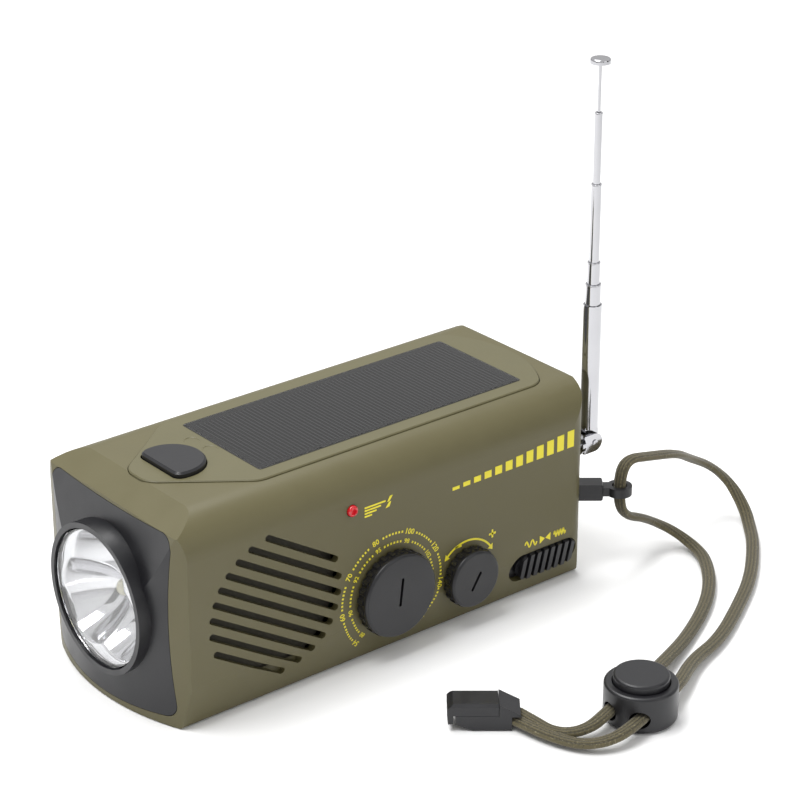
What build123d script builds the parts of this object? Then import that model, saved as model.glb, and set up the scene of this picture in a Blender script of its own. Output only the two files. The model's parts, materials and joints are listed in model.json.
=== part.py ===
"""Hand-cranked emergency radio with a lamp, a solar panel and a wrist cord.

X runs along the casing, lamp end at -X and tail at +X. The controls are on the -Y side and
the crank on the +Y side. Z is up, and the origin is on the flat base, under the casing.
"""

from build123d import *
import math
import os

os.makedirs("parts", exist_ok=True)

# ---------------------------------------------------------------- driving dimensions, in mm
body_length = 142.9  # along the sides, from the front crease to the tail corner
body_width = 66.8
body_height = 62.2
wall = 2.2
corner_radius = 11.0  # the two long top edges
base_inset = 3.0  # how far each side draws in from taper_height to the base
taper_height = 13.0
base_radius = 1.6
tail_corner_radius = 6.0
tail_edge_radius = 4.0  # where the top meets the tail

front_side_x = -67.3
nose_bow = 7.7  # how far the middle of the front stands ahead of its sides
tail_bow = 3.8
tail_side_x = front_side_x + body_length
tail_mid_x = tail_side_x + tail_bow
nose_mid_x = front_side_x - nose_bow
slope_top_x = front_side_x + 7.3  # where the top begins to fall towards the lamp
slope_foot_x = front_side_x - 1.5
slope_drop = 4.2
lean_foot_z = 20.0  # the front stands upright below this and leans back above it

side_y = body_width / 2
inner_y = side_y - wall
ceiling_z = body_height - wall

# clearances
part_gap = 0.15  # between pieces that are clipped or glued in place
moving_gap = 0.3  # round pieces that move in a pocket
bearing_gap = 0.05  # radial, for shafts that turn in a bore
slide_gap = 0.09  # radial, between the antenna's tubes

# top deck and solar panel
deck_floor = body_height - 1.2
deck_top = body_height + 0.5
deck_half_width = 23.5
deck_nose_x = front_side_x + 6.8
deck_shoulder_x = deck_nose_x + 24.5
deck_nose_half = 5.0
deck_tail_x = tail_side_x - 10.0
deck_tail_bow = 9.0
deck_corner = 7.0
panel_length = 94.4
panel_width = 36.6
panel_x = front_side_x + 82.4
cell_thickness = 1.1
window_thickness = 0.8

# lamp
bezel_half_width = 29.6
bezel_waist = 27.4
bezel_top_z = 58.4
bezel_foot_z = 3.2
bezel_corner = 4.0
bezel_wall = 2.2
bezel_back_x = front_side_x + 3.0
lamp_z = 29.7
lip_x = -75.7
lens_radius = 20.3
lip_wall = 1.6
lip_depth = 11.0
lens_thickness = 1.4
reflector_wall = 0.9
reflector_depth = 15.0
reflector_neck = 11.5
led_count = 3
led_radius = 2.5
led_circle = 7.6

# lamp button
button_x = -49.0
button_radius = 9.8
button_front_x = button_x - 4.2
button_proud = 1.6
button_travel = 1.2
button_flange = 1.0
button_flange_z = ceiling_z - 0.1
switch_height = 4.0

# controls on the -Y side
tune_x, tune_z, tune_radius = 1.9, 19.8, 13.0
volume_x, volume_z, volume_radius = 29.7, 15.6, 9.1
knob_height = 3.9
knob_gap = 0.5
knob_skirt = 2.3  # height of the fluted part, next to the casing
knob_edge = 0.9
flute_pitch = 2.9
flute_depth = 0.6
pointer_width = 0.9
pointer_depth = 0.9
tune_pointer = (8.8, 7, 1.2)
volume_pointer = (6.4, 33, -0.6)
knob_hub_radius = 3.0
knob_shaft_radius = 1.5
knob_bore_depth = 3.2
control_depth = 9.0  # depth of the capacitor and the volume control
control_gap = 1.8  # from the inner wall to their faces
led_x, led_z = -12.2, 49.6
indicator_radius = 1.7

# band switch
band_x = tail_side_x - 15.6
band_z = 9.8
band_length = 26.4
band_height = 9.4
band_travel = 2.8
band_depth = 1.9
rib_count, rib_pitch, rib_width, rib_height = 8, 2.7, 1.5, 1.6

# speaker
speaker_x, speaker_z = -38.5, 28.8
grille_radius = 22.4
grille_slots = 9
grille_pitch = 4.32
slot_height = 2.0
slot_angle = -31.5
speaker_radius = 20.0
screen_radius = 22.8
speaker_setback = 2.1  # clears the foot of the wall, where it draws in
speaker_rim = 1.8
cone_depth = 6.0
magnet_radius = 11.0
magnet_depth = 7.0

# crank and generator
crank_x, crank_z = 20.0, 34.0
crank_gap = 0.8
crank_thickness = 6.0
crank_radius = 27.0  # from the axle to the grip's pin
arm_half_width = 7.3
grip_radius = 4.3
grip_length = 12.6
grip_clear = 0.5
post_radius = 1.7
post_head_radius = 2.8
fold_pin_radius = 1.2
fold_eye_radius = 2.9
axle_radius = 3.0
gear_face = 3.0
drive_teeth, pinion_teeth, drive_module = 36, 12, 0.8
wheel_teeth, rotor_teeth, wheel_module = 30, 10, 0.6
mesh_gap = 0.12  # added to each pair's centre distance
idler_pin_radius = 1.0
rotor_shaft_radius = 1.0
generator_radius = 9.0
generator_length = 14.0

# antenna
mast_y, mast_z = -26.0, 40.0
mast_x = tail_side_x + 7.8
stud_radius = 2.4
fork_half_width = 3.0
fork_radius = 2.9
tongue_half_width = 1.4
mast_pin_radius = 0.9
tube_foot_z = 44.2
tube_radii = [2.8, 2.3, 1.88, 1.5, 1.1]
tube_tops = [83.8, 90.3, 97.1, 121.1, 142.5]
tube_lengths = [39.6, 38.0, 37.5, 37.0, 36.5]
rod_radius = 0.45
rod_length = 36.0
tip_z = 158.5
tip_radius = 2.95
tip_height = 1.5

# strap lug
lug_angle = -39.0  # from +X, seen from above
lug_root_x = tail_side_x + 0.6
lug_root_y = -27.0
lug_z = 25.9
lug_eye = 14.4
lug_eye_radius = 2.3
lug_ring_wall = 1.5
lug_half_width = 2.6
lug_height = 5.2
lug_ring_height = 2.8
lug_root_length = 9.4  # from the casing to where it narrows
lug_edge = 0.7
lug_embed = 4.0

# wrist cord: two legs of one flat cord, its lock and its end clip
cord_radius = 1.6
lock_x, lock_y = 32.7, -103.2
lock_angle = 17.4
lock_radius = 10.3
lock_height = 11.0
channel_offset = 4.6
channel_radius = 2.6
channel_z = 4.4
lock_button_radius = 7.85
lock_button_z = 10.8
lock_button_height = 2.6
lock_well_floor = 7.9
spring_radius = 4.4
spring_wire = 0.5
spring_turns = 2
clip_x, clip_y = -10.7, -72.6
clip_angle = -39.0
clip_length = 14.0
clip_half_width = 4.3
clip_height = 7.9
clip_split_z = 4.4
clip_heel = 1.9  # how far its closed end stands off the table
clip_tab = 1.7
clip_slant = 1.6
hood_length = 6.0
hood_height = 4.8  # at its open end

# charging port and casing screws
port_x = tail_side_x - 11.6
port_z = 17.0
port_width = 9.0
port_height = 4.2
port_depth = 7.0
port_wall = 0.7
cover_width = 13.0
cover_height = 7.6
cover_thickness = 1.5
cover_gap = 0.3  # from the casing to the closed cover
cover_bead_radius = 0.9  # the round hinge along its upper edge
screw_radius = 1.4
screw_head_radius = 2.6
screw_head = 1.6
boss_radius = 3.2
screw_places = [
    (front_side_x + 7.3, 53.0),
    (front_side_x + 11.3, 7.0),
    (20.0, 6.2),
    (tail_side_x - 6.6, 28.0),
    (tail_side_x - 6.6, 53.0),
]

# internal pieces
board_y = -inner_y + control_gap + control_depth
board_thickness = 1.6
board_length = 70.0
board_height = 44.0
board_foot_z = 11.0
board_x = 27.0
rod_core_radius = 4.0
rod_core_length = 60.0
coil_radius = 5.4
coil_length = 16.0
cell_radius = 5.2
cell_length = 44.0
cell_count = 3

reach = body_length + body_width  # longer than the casing in every direction


def save(piece, name):
    """Labels a finished piece and writes it to its own file."""
    piece.label = name
    export_step(piece, "parts/" + name + ".step")


def near_plane(depth):
    """A plane facing -Y, this far inside the casing's -Y side."""
    return Plane.XZ.offset(side_y - depth)


def far_plane(depth):
    """A plane facing +Y, this far inside the casing's +Y side."""
    return Plane(origin=(0, side_y - depth, 0), x_dir=(-1, 0, 0), z_dir=(0, 1, 0))


# ---------------------------------------------------------------- casing
def casing_form(inset):
    """The outer form of the casing, drawn in by inset all round."""
    half = side_y - inset
    foot = half - base_inset
    top = body_height - inset
    with BuildPart() as form:
        with BuildSketch(Plane.YZ.offset(-reach)) as section:
            with BuildLine():
                Polyline(
                    (-foot, inset),
                    (-half, taper_height),
                    (-half, top),
                    (half, top),
                    (half, taper_height),
                    (foot, inset),
                    close=True,
                )
            make_face()
            fillet(section.vertices().group_by(Axis.Y)[-1], corner_radius - inset)
            fillet(section.vertices().group_by(Axis.Y)[0], base_radius)
        extrude(amount=2 * reach)
        with BuildSketch() as plan:
            with BuildLine():
                nose = ThreePointArc(
                    (front_side_x + inset, half),
                    (nose_mid_x + inset, 0),
                    (front_side_x + inset, -half),
                )
                tail = ThreePointArc(
                    (tail_side_x - inset, -half),
                    (tail_mid_x - inset, 0),
                    (tail_side_x - inset, half),
                )
                Line(nose @ 1, tail @ 0)
                Line(tail @ 1, nose @ 0)
            make_face()
            fillet(plan.vertices().group_by(Axis.X)[-1], tail_corner_radius - inset)
        extrude(amount=body_height, mode=Mode.INTERSECT)
        with BuildSketch(Plane.XZ) as profile:
            with BuildLine():
                Polyline(
                    (nose_mid_x - nose_bow, 0),
                    (nose_mid_x - nose_bow, lean_foot_z - 2 * nose_bow),
                    (nose_mid_x - 1.5 + inset, lean_foot_z),
                    (slope_foot_x + inset, body_height - slope_drop - inset),
                    (slope_top_x + inset, top),
                    (tail_mid_x - inset + 0.4, top),
                    (tail_mid_x - inset + 0.4, 0),
                    close=True,
                )
            make_face()
            tail_vertices = profile.vertices().group_by(Axis.X)[-1]
            fillet(tail_vertices.sort_by(Axis.Y)[-1], tail_edge_radius - inset)
        extrude(amount=reach, both=True, mode=Mode.INTERSECT)
    return form.part


def bezel_outline(margin):
    """A cushion outline with hollow sides, at the bezel's back, smaller by margin all round."""
    half = bezel_half_width - margin
    waist = bezel_waist - margin
    top = bezel_top_z - margin
    foot = bezel_foot_z + margin
    with BuildSketch(Plane.YZ.offset(bezel_back_x)) as outline:
        with BuildLine():
            ThreePointArc((-half, foot), (-waist, lamp_z), (-half, top))
            ThreePointArc((-half, top), (0, top - 1.2), (half, top))
            ThreePointArc((half, top), (waist, lamp_z), (half, foot))
            ThreePointArc((half, foot), (0, foot - 1.8), (-half, foot))
        make_face()
        fillet(outline.vertices(), bezel_corner)
    return outline.sketch


def deck_outline(margin):
    """The top deck's outline: a blunt nose, straight sides and a bowed tail."""
    half = deck_half_width + margin
    nose = deck_nose_half + margin
    with BuildSketch() as outline:
        with BuildLine():
            tail = ThreePointArc(
                (deck_tail_x + margin, -half),
                (deck_tail_x + deck_tail_bow + margin, 0),
                (deck_tail_x + margin, half),
            )
            Polyline(
                tail @ 1,
                (deck_shoulder_x, half),
                (deck_nose_x - margin, nose),
                (deck_nose_x - margin, -nose),
                (deck_shoulder_x, -half),
                tail @ 0,
            )
        make_face()
        fillet(outline.vertices(), deck_corner)
    return outline.sketch


def button_outline(margin):
    """The lamp button seen from above: a disc with its front cut off square."""
    with BuildSketch() as outline:
        with Locations((button_x, 0)):
            Circle(button_radius + margin)
        with Locations((button_front_x - margin, 0)):
            Rectangle(4 * button_radius, 4 * button_radius, align=(Align.MIN, Align.CENTER),
                      mode=Mode.INTERSECT)
        fillet(outline.vertices(), 2.6)
    return outline.sketch


band_slope = math.degrees(math.atan2(base_inset, taper_height))
band_face_y = -side_y + base_inset * (1 - band_z / taper_height)
band_plane = Plane(
    origin=(band_x, band_face_y, band_z),
    x_dir=(1, 0, 0),
    z_dir=(0, -math.cos(math.radians(band_slope)), -math.sin(math.radians(band_slope))),
)
lug_plane = Plane(
    origin=(lug_root_x, lug_root_y, lug_z),
    x_dir=(math.cos(math.radians(lug_angle)), math.sin(math.radians(lug_angle)), 0),
    z_dir=(0, 0, 1),
)

outer_form = casing_form(0)
cavity_form = casing_form(wall)
front_opening = bezel_outline(0)
deck_recess = deck_outline(part_gap)
button_hole = button_outline(moving_gap)

with BuildPart() as casing:
    add(outer_form)
    add(cavity_form, mode=Mode.SUBTRACT)
    # ribs behind the parting line and posts for the screws
    with BuildSketch(Plane.XZ.offset(-inner_y)):
        with Locations(*screw_places):
            Circle(boss_radius)
    extrude(amount=2 * inner_y)
    # the mouth that takes the lamp bezel
    extrude(front_opening, amount=-body_width, mode=Mode.SUBTRACT)
    # the shelf for the deck and the hole under the button
    with BuildSketch(Plane.XY.offset(deck_floor)):
        add(deck_recess)
    extrude(amount=deck_top, mode=Mode.SUBTRACT)
    with BuildSketch(Plane.XY.offset(ceiling_z - 1)):
        add(button_hole)
    extrude(amount=wall + 2, mode=Mode.SUBTRACT)
    # speaker slots
    with BuildSketch(near_plane(-1)):
        for i in range(grille_slots):
            rise = (i - (grille_slots - 1) / 2) * grille_pitch
            chord = 2 * math.sqrt(grille_radius**2 - rise**2)
            middle = Vector(0, rise, 0).rotate(Axis.Z, slot_angle)
            with Locations((speaker_x + middle.X, speaker_z + middle.Y)):
                SlotOverall(chord, slot_height, rotation=slot_angle)
    extrude(amount=-(wall + 2), mode=Mode.SUBTRACT)
    # control holes
    with BuildSketch(near_plane(-1)):
        with Locations((tune_x, tune_z), (volume_x, volume_z)):
            Circle(knob_hub_radius + moving_gap)
        with Locations((led_x, led_z)):
            Circle(indicator_radius + part_gap)
    extrude(amount=-(wall + 2), mode=Mode.SUBTRACT)
    with BuildSketch(band_plane.offset(wall)):
        SlotOverall(band_length, band_height)
    extrude(amount=-3 * wall, mode=Mode.SUBTRACT)
    # crank bore, port window, antenna bore and the lug's socket
    with BuildSketch(far_plane(-1)):
        with Locations((-crank_x, crank_z)):
            Circle(axle_radius + bearing_gap)
        with Locations((-port_x, port_z)):
            Rectangle(port_width, port_height)
    extrude(amount=-(wall + 2), mode=Mode.SUBTRACT)
    with BuildSketch(Plane.YZ.offset(tail_side_x - 2 * wall)):
        with Locations((mast_y, mast_z)):
            Circle(stud_radius + bearing_gap)
    extrude(amount=4 * wall, mode=Mode.SUBTRACT)
    with BuildSketch(lug_plane.offset(-lug_height / 2)):
        with Locations((-lug_embed, 0)):
            Rectangle(2 * lug_embed, 2 * lug_half_width, align=(Align.MIN, Align.CENTER))
    extrude(amount=lug_height, mode=Mode.SUBTRACT)
    # screw holes, with a seat for each head on the +Y side
    with Locations(*[Pos(x, side_y, z) * Rot(-90, 0, 0) for x, z in screw_places]):
        CounterBoreHole(screw_radius, screw_head_radius + part_gap, screw_head + 0.4, 1.6 * side_y)

with BuildPart() as near_housing:
    add(casing.part)
    split(bisect_by=Plane.XZ, keep=Keep.TOP)
with BuildPart() as far_housing:
    add(casing.part)
    split(bisect_by=Plane.XZ, keep=Keep.BOTTOM)
save(near_housing.part, "near_housing")
save(far_housing.part, "far_housing")

# ---------------------------------------------------------------- top deck and solar panel
with BuildPart() as top_deck:
    with BuildSketch(Plane.XY.offset(deck_floor)):
        add(deck_outline(0))
    extrude(amount=deck_top - deck_floor)
    chamfer(top_deck.faces().sort_by(Axis.Z)[-1].edges(), 0.3)
    with BuildSketch(Plane.XY.offset(deck_floor)):
        with Locations((panel_x, 0)):
            Rectangle(panel_length + 2 * part_gap, panel_width + 2 * part_gap)
        add(button_hole)
    extrude(amount=deck_top, mode=Mode.SUBTRACT)
save(top_deck.part, "top_deck")

with BuildPart() as solar_cells:
    with Locations((panel_x, 0, deck_floor)):
        Box(panel_length, panel_width, cell_thickness, align=(Align.CENTER, Align.CENTER, Align.MIN))
save(solar_cells.part, "solar_cells")

with BuildPart() as solar_window:
    with Locations((panel_x, 0, deck_floor + cell_thickness)):
        Box(panel_length, panel_width, window_thickness, align=(Align.CENTER, Align.CENTER, Align.MIN))
    chamfer(solar_window.faces().sort_by(Axis.Z)[-1].edges(), 0.2)
save(solar_window.part, "solar_window")

# ---------------------------------------------------------------- lamp
lens_back_x = lip_x + 0.8 + lens_thickness
rim_x = lens_back_x + 0.2

with BuildPart() as lamp_bezel:
    extrude(bezel_outline(part_gap), amount=-body_width)
    add(outer_form, mode=Mode.INTERSECT)
    add(casing_form(bezel_wall), mode=Mode.SUBTRACT)
    with BuildSketch(Plane.YZ.offset(lip_x)):
        with Locations((0, lamp_z)):
            Circle(lens_radius + lip_wall)
    extrude(amount=lip_depth)
    with BuildSketch(Plane.YZ.offset(lip_x)):
        with Locations((0, lamp_z)):
            Circle(lens_radius)
    extrude(amount=2 * lip_depth, mode=Mode.SUBTRACT)
save(lamp_bezel.part, "lamp_bezel")

with BuildPart() as lamp_lens:
    with BuildSketch(Plane.YZ.offset(lens_back_x)):
        with Locations((0, lamp_z)):
            Circle(lens_radius - 0.1)
    extrude(amount=-lens_thickness)
    chamfer(lamp_lens.faces().sort_by(Axis.X)[0].edges(), 0.4)
save(lamp_lens.part, "lamp_lens")

with BuildPart() as lamp_reflector:
    with BuildSketch(Plane.XZ):
        with BuildLine():
            bowl = ThreePointArc(
                (rim_x, lamp_z + lens_radius - 0.2),
                (rim_x + 0.62 * reflector_depth, lamp_z + 0.82 * lens_radius),
                (rim_x + reflector_depth, lamp_z + reflector_neck),
            )
            offset(bowl, amount=reflector_wall, side=Side.RIGHT)
        make_face()
    revolve(axis=Axis((0, 0, lamp_z), (1, 0, 0)))
    with BuildSketch(Plane.YZ.offset(rim_x + reflector_depth - reflector_wall)):
        with Locations((0, lamp_z)):
            Circle(reflector_neck)
            with PolarLocations(led_circle, led_count, start_angle=90):
                Circle(led_radius + 0.4, mode=Mode.SUBTRACT)
    extrude(amount=reflector_wall)
save(lamp_reflector.part, "lamp_reflector")

board_x0 = rim_x + reflector_depth + 0.3
with BuildPart() as lamp_board:
    with BuildSketch(Plane.YZ.offset(board_x0)):
        with Locations((0, lamp_z)):
            Circle(reflector_neck + 1)
    extrude(amount=board_thickness)
save(lamp_board.part, "lamp_board")

with BuildPart() as lamp_leds:
    with BuildSketch(Plane.YZ.offset(board_x0)):
        with Locations((0, lamp_z)):
            with PolarLocations(led_circle, led_count, start_angle=90):
                Circle(led_radius)
    extrude(amount=-5)
    fillet(lamp_leds.faces().group_by(Axis.X)[0].edges(), led_radius - 0.1)
save(lamp_leds.part, "lamp_leds")

with BuildPart() as lamp_button:
    with BuildSketch(Plane.XY.offset(button_flange_z)):
        add(button_outline(0))
    extrude(amount=deck_top + button_proud - button_flange_z)
    chamfer(lamp_button.faces().sort_by(Axis.Z)[-1].edges(), 0.6)
    with BuildSketch(Plane.XY.offset(button_flange_z - button_flange)):
        add(button_outline(1.2))
    extrude(amount=button_flange)
save(lamp_button.part, "lamp_button")

switch_top = button_flange_z - button_flange - button_travel - 0.3
with BuildPart() as lamp_switch:
    with Locations((button_x, 0, switch_top)):
        Box(8, 8, switch_height, align=(Align.CENTER, Align.CENTER, Align.MAX))
    with Locations((button_x, 0, switch_top - switch_height)):
        Box(13, 14, board_thickness, align=(Align.CENTER, Align.CENTER, Align.MAX))
save(lamp_switch.part, "lamp_switch")

# ---------------------------------------------------------------- controls
with BuildPart() as charge_led:
    with BuildSketch(near_plane(-0.2)):
        with Locations((led_x, led_z)):
            Circle(indicator_radius)
    extrude(amount=-6)
    with BuildSketch(near_plane(-0.2)):
        with Locations((led_x, led_z)):
            Circle(indicator_radius)
    extrude(amount=0.9)
    fillet(charge_led.faces().sort_by(Axis.Y)[0].edges(), 0.85)
save(charge_led.part, "charge_led")


def make_knob(x, z, radius, pointer, name):
    """A round knob with a scalloped skirt, a plain rounded cap and a hub that enters the casing.

    pointer is the groove in its face: length, lean from upright, and how far it stands above the middle.
    """
    flutes = round(2 * math.pi * radius / flute_pitch)
    pointer_length, pointer_lean, pointer_rise = pointer
    with BuildPart() as knob:
        with BuildSketch(near_plane(-knob_gap)):
            with Locations((x, z)):
                Circle(radius)
                with PolarLocations(radius + flute_depth / 2, flutes):
                    Circle(1.5 * flute_depth, mode=Mode.SUBTRACT)
        extrude(amount=knob_skirt)
        with BuildSketch(near_plane(-knob_gap - knob_skirt)):
            with Locations((x, z)):
                Circle(radius - flute_depth / 2)
        extrude(amount=knob_height - knob_skirt)
        fillet(knob.faces().sort_by(Axis.Y)[0].edges(), knob_edge)
        with BuildSketch(near_plane(-knob_gap - knob_height)):
            with Locations((x, z + pointer_rise)):
                SlotOverall(pointer_length, pointer_width, rotation=90 - pointer_lean)
        extrude(amount=-pointer_depth, mode=Mode.SUBTRACT)
        with BuildSketch(near_plane(-knob_gap)):
            with Locations((x, z)):
                Circle(knob_hub_radius)
        extrude(amount=-(knob_gap + wall + part_gap))
        with BuildSketch(near_plane(wall + part_gap)):
            with Locations((x, z)):
                Circle(knob_shaft_radius)
        extrude(amount=wall + part_gap + knob_bore_depth, mode=Mode.SUBTRACT)
    save(knob.part, name)


def make_shaft(x, z, name):
    """The spindle pressed into a knob and carried by the control behind it."""
    with BuildPart() as shaft:
        with BuildSketch(near_plane(-knob_bore_depth)):
            with Locations((x, z)):
                Circle(knob_shaft_radius)
        extrude(amount=-(knob_bore_depth + wall + control_gap + 0.6 * control_depth))
    save(shaft.part, name)


make_knob(tune_x, tune_z, tune_radius, tune_pointer, "tuning_knob")
make_knob(volume_x, volume_z, volume_radius, volume_pointer, "volume_knob")
make_shaft(tune_x, tune_z, "tuning_shaft")
make_shaft(volume_x, volume_z, "volume_shaft")

with BuildPart() as tuning_capacitor:
    with BuildSketch(near_plane(wall + control_gap)):
        with Locations((tune_x, tune_z)):
            Rectangle(16, 16)
            Circle(knob_shaft_radius + bearing_gap, mode=Mode.SUBTRACT)
    extrude(amount=-control_depth)
save(tuning_capacitor.part, "tuning_capacitor")

with BuildPart() as volume_pot:
    with BuildSketch(near_plane(wall + control_gap)):
        with Locations((volume_x, volume_z)):
            Circle(8)
            Circle(knob_shaft_radius + bearing_gap, mode=Mode.SUBTRACT)
    extrude(amount=-control_depth)
save(volume_pot.part, "volume_pot")

# the slider travels in +X from where it stands
slider_length = band_length - band_travel - 2 * moving_gap
slider_height = band_height - 2 * moving_gap
with BuildPart() as band_slider:
    with BuildSketch(band_plane.offset(-band_depth)):
        with Locations((band_travel / 2, 0)):
            SlotOverall(slider_length, slider_height)
    extrude(amount=band_depth - rib_height / 2)
    with BuildSketch(band_plane.offset(-rib_height / 2)):
        with Locations((band_travel / 2, 0)):
            with GridLocations(rib_pitch, 0, rib_count, 1):
                Rectangle(rib_width, slider_height)
            SlotOverall(slider_length, slider_height, mode=Mode.INTERSECT)
    extrude(amount=rib_height)
save(band_slider.part, "band_slider")

with BuildPart() as band_switch:
    with BuildSketch(band_plane.offset(-band_depth - 0.1)):
        SlotOverall(band_length - 0.2, band_height - 0.2)
    extrude(amount=-1.2)
    with BuildSketch(band_plane.offset(-band_depth - 1.3)):
        Rectangle(14, 5)
    extrude(amount=-5)
save(band_switch.part, "band_switch")

# ---------------------------------------------------------------- speaker
screen_depth = wall + speaker_setback
frame_depth = screen_depth + 0.5
with BuildPart() as speaker_screen:
    with BuildSketch(near_plane(screen_depth)):
        with Locations((speaker_x, speaker_z)):
            Circle(screen_radius)
    extrude(amount=-0.3)
save(speaker_screen.part, "speaker_screen")

cone_rim = speaker_radius - speaker_rim
with BuildPart() as speaker_frame:
    with BuildSketch(near_plane(frame_depth)):
        with Locations((speaker_x, speaker_z)):
            Circle(speaker_radius)
            Circle(cone_rim, mode=Mode.SUBTRACT)
    extrude(amount=-cone_depth)
    with BuildSketch(near_plane(frame_depth + cone_depth)):
        with Locations((speaker_x, speaker_z)):
            Circle(speaker_radius)
            Circle(0.6 * magnet_radius, mode=Mode.SUBTRACT)
            with PolarLocations(0.72 * speaker_radius, 6):
                Circle(2.2, mode=Mode.SUBTRACT)
    extrude(amount=-0.8)
save(speaker_frame.part, "speaker_frame")

with BuildPart() as speaker_cone:
    with BuildSketch(near_plane(frame_depth + 0.6)):
        with Locations((speaker_x, speaker_z)):
            Circle(cone_rim - 0.1)
    with BuildSketch(near_plane(frame_depth + cone_depth - 0.4)):
        with Locations((speaker_x, speaker_z)):
            Circle(0.5 * magnet_radius)
    loft()
save(speaker_cone.part, "speaker_cone")

with BuildPart() as speaker_magnet:
    with BuildSketch(near_plane(frame_depth + cone_depth + 0.8)):
        with Locations((speaker_x, speaker_z)):
            Circle(magnet_radius)
    extrude(amount=-magnet_depth)
    chamfer(speaker_magnet.faces().sort_by(Axis.Y)[-1].edges(), 0.6)
save(speaker_magnet.part, "speaker_magnet")

# ---------------------------------------------------------------- boards, aerial and cells
with BuildPart() as main_board:
    with Locations((board_x, board_y, board_foot_z)):
        Box(board_length, board_thickness, board_height, align=(Align.CENTER, Align.MIN, Align.MIN))
    with Locations((board_x + 8, board_y + board_thickness, 30), (board_x - 16, board_y + board_thickness, 44)):
        Box(12, 1.8, 8, align=(Align.CENTER, Align.MIN, Align.CENTER))
save(main_board.part, "main_board")

rod_x, rod_y, rod_z = 32.0, 2.0, ceiling_z - 8.0
with BuildPart() as ferrite_rod:
    with BuildSketch(Plane.YZ.offset(rod_x - rod_core_length / 2)):
        with Locations((rod_y, rod_z)):
            Circle(rod_core_radius)
    extrude(amount=rod_core_length)
save(ferrite_rod.part, "ferrite_rod")

with BuildPart() as ferrite_coil:
    with BuildSketch(Plane.YZ.offset(rod_x)):
        with Locations((rod_y, rod_z)):
            Circle(coil_radius)
            Circle(rod_core_radius, mode=Mode.SUBTRACT)
    extrude(amount=coil_length)
save(ferrite_coil.part, "ferrite_coil")

cell_z = wall + cell_radius + 0.4
cell_x = crank_x - 60
with BuildPart() as battery_cells:
    with BuildSketch(Plane.YZ.offset(cell_x)):
        with Locations(*[(-6 + i * 2.03 * cell_radius, cell_z) for i in range(cell_count)]):
            Circle(cell_radius)
    extrude(amount=cell_length)
save(battery_cells.part, "battery_cells")


# ---------------------------------------------------------------- crank, gears and generator
def gear_face_on(plane, centre, teeth, module, turn, bore):
    """A spur gear's outline with straight-sided teeth, one tooth's middle at the angle turn."""
    pitch = teeth * module / 2
    tip = pitch + 0.85 * module
    root = pitch - 1.15 * module
    step = 360 / teeth
    # half widths of a tooth at its root, pitch circle and tip, as shares of one step
    flank = [(root, 0.34), (pitch, 0.225), (tip, 0.11)]
    points = []
    for i in range(teeth):
        middle = turn + i * step
        rising = [(r, middle - share * step) for r, share in flank]
        falling = [(r, middle + share * step) for r, share in reversed(flank)]
        for r, angle in rising + falling:
            a = math.radians(angle)
            points.append((centre[0] + r * math.cos(a), centre[1] + r * math.sin(a)))
    with BuildSketch(plane) as outline:
        with BuildLine():
            Polyline(*points, close=True)
        make_face()
        with Locations(centre):
            Circle(bore, mode=Mode.SUBTRACT)
    return outline.sketch


def gear_plane(y):
    """A plane facing +Y at this height, with its own X along -X."""
    return Plane(origin=(0, y, 0), x_dir=(-1, 0, 0), z_dir=(0, 1, 0))


drive_distance = (drive_teeth + pinion_teeth) * drive_module / 2 + mesh_gap
wheel_distance = (wheel_teeth + rotor_teeth) * wheel_module / 2 + mesh_gap
idler_x = crank_x - drive_distance
rotor_x = idler_x - wheel_distance
gear_top = inner_y - 0.8
drive_y = gear_top - gear_face
wheel_y = drive_y - gear_face - 0.3

with BuildPart() as drive_gear:
    extrude(
        gear_face_on(gear_plane(drive_y), (-crank_x, crank_z), drive_teeth, drive_module, 0, axle_radius),
        amount=gear_face,
    )
save(drive_gear.part, "drive_gear")

arm_y = side_y + crank_gap
with BuildPart() as crank_axle:
    with BuildSketch(gear_plane(drive_y - 0.6)):
        with Locations((-crank_x, crank_z)):
            Circle(axle_radius)
    extrude(amount=arm_y + 0.6 * crank_thickness - drive_y + 0.6)
save(crank_axle.part, "crank_axle")

idler_bore = idler_pin_radius + bearing_gap
with BuildPart() as idler_gear:
    # the pinion's gap faces the drive gear's tooth
    extrude(
        gear_face_on(gear_plane(drive_y), (-idler_x, crank_z), pinion_teeth, drive_module,
                     180 + 180 / pinion_teeth, idler_bore),
        amount=gear_face,
    )
    extrude(
        gear_face_on(gear_plane(wheel_y), (-idler_x, crank_z), wheel_teeth, wheel_module, 0, idler_bore),
        amount=gear_face,
    )
    with BuildSketch(gear_plane(wheel_y + gear_face)):
        with Locations((-idler_x, crank_z)):
            Circle(0.7 * pinion_teeth * drive_module / 2)
            Circle(idler_bore, mode=Mode.SUBTRACT)
    extrude(amount=drive_y - wheel_y - gear_face)
save(idler_gear.part, "idler_gear")

with BuildPart() as idler_pin:
    with BuildSketch(gear_plane(wheel_y - 2)):
        with Locations((-idler_x, crank_z)):
            Circle(idler_pin_radius)
    extrude(amount=inner_y - wheel_y + 2)
save(idler_pin.part, "idler_pin")

with BuildPart() as rotor_pinion:
    extrude(
        gear_face_on(gear_plane(wheel_y), (-rotor_x, crank_z), rotor_teeth, wheel_module,
                     180 + 180 / rotor_teeth, rotor_shaft_radius),
        amount=gear_face,
    )
save(rotor_pinion.part, "rotor_pinion")

generator_y = wheel_y - 0.8
with BuildPart() as rotor_shaft:
    with BuildSketch(gear_plane(generator_y - 0.7 * generator_length)):
        with Locations((-rotor_x, crank_z)):
            Circle(rotor_shaft_radius)
    extrude(amount=wheel_y + gear_face + 0.4 - generator_y + 0.7 * generator_length)
save(rotor_shaft.part, "rotor_shaft")

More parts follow.
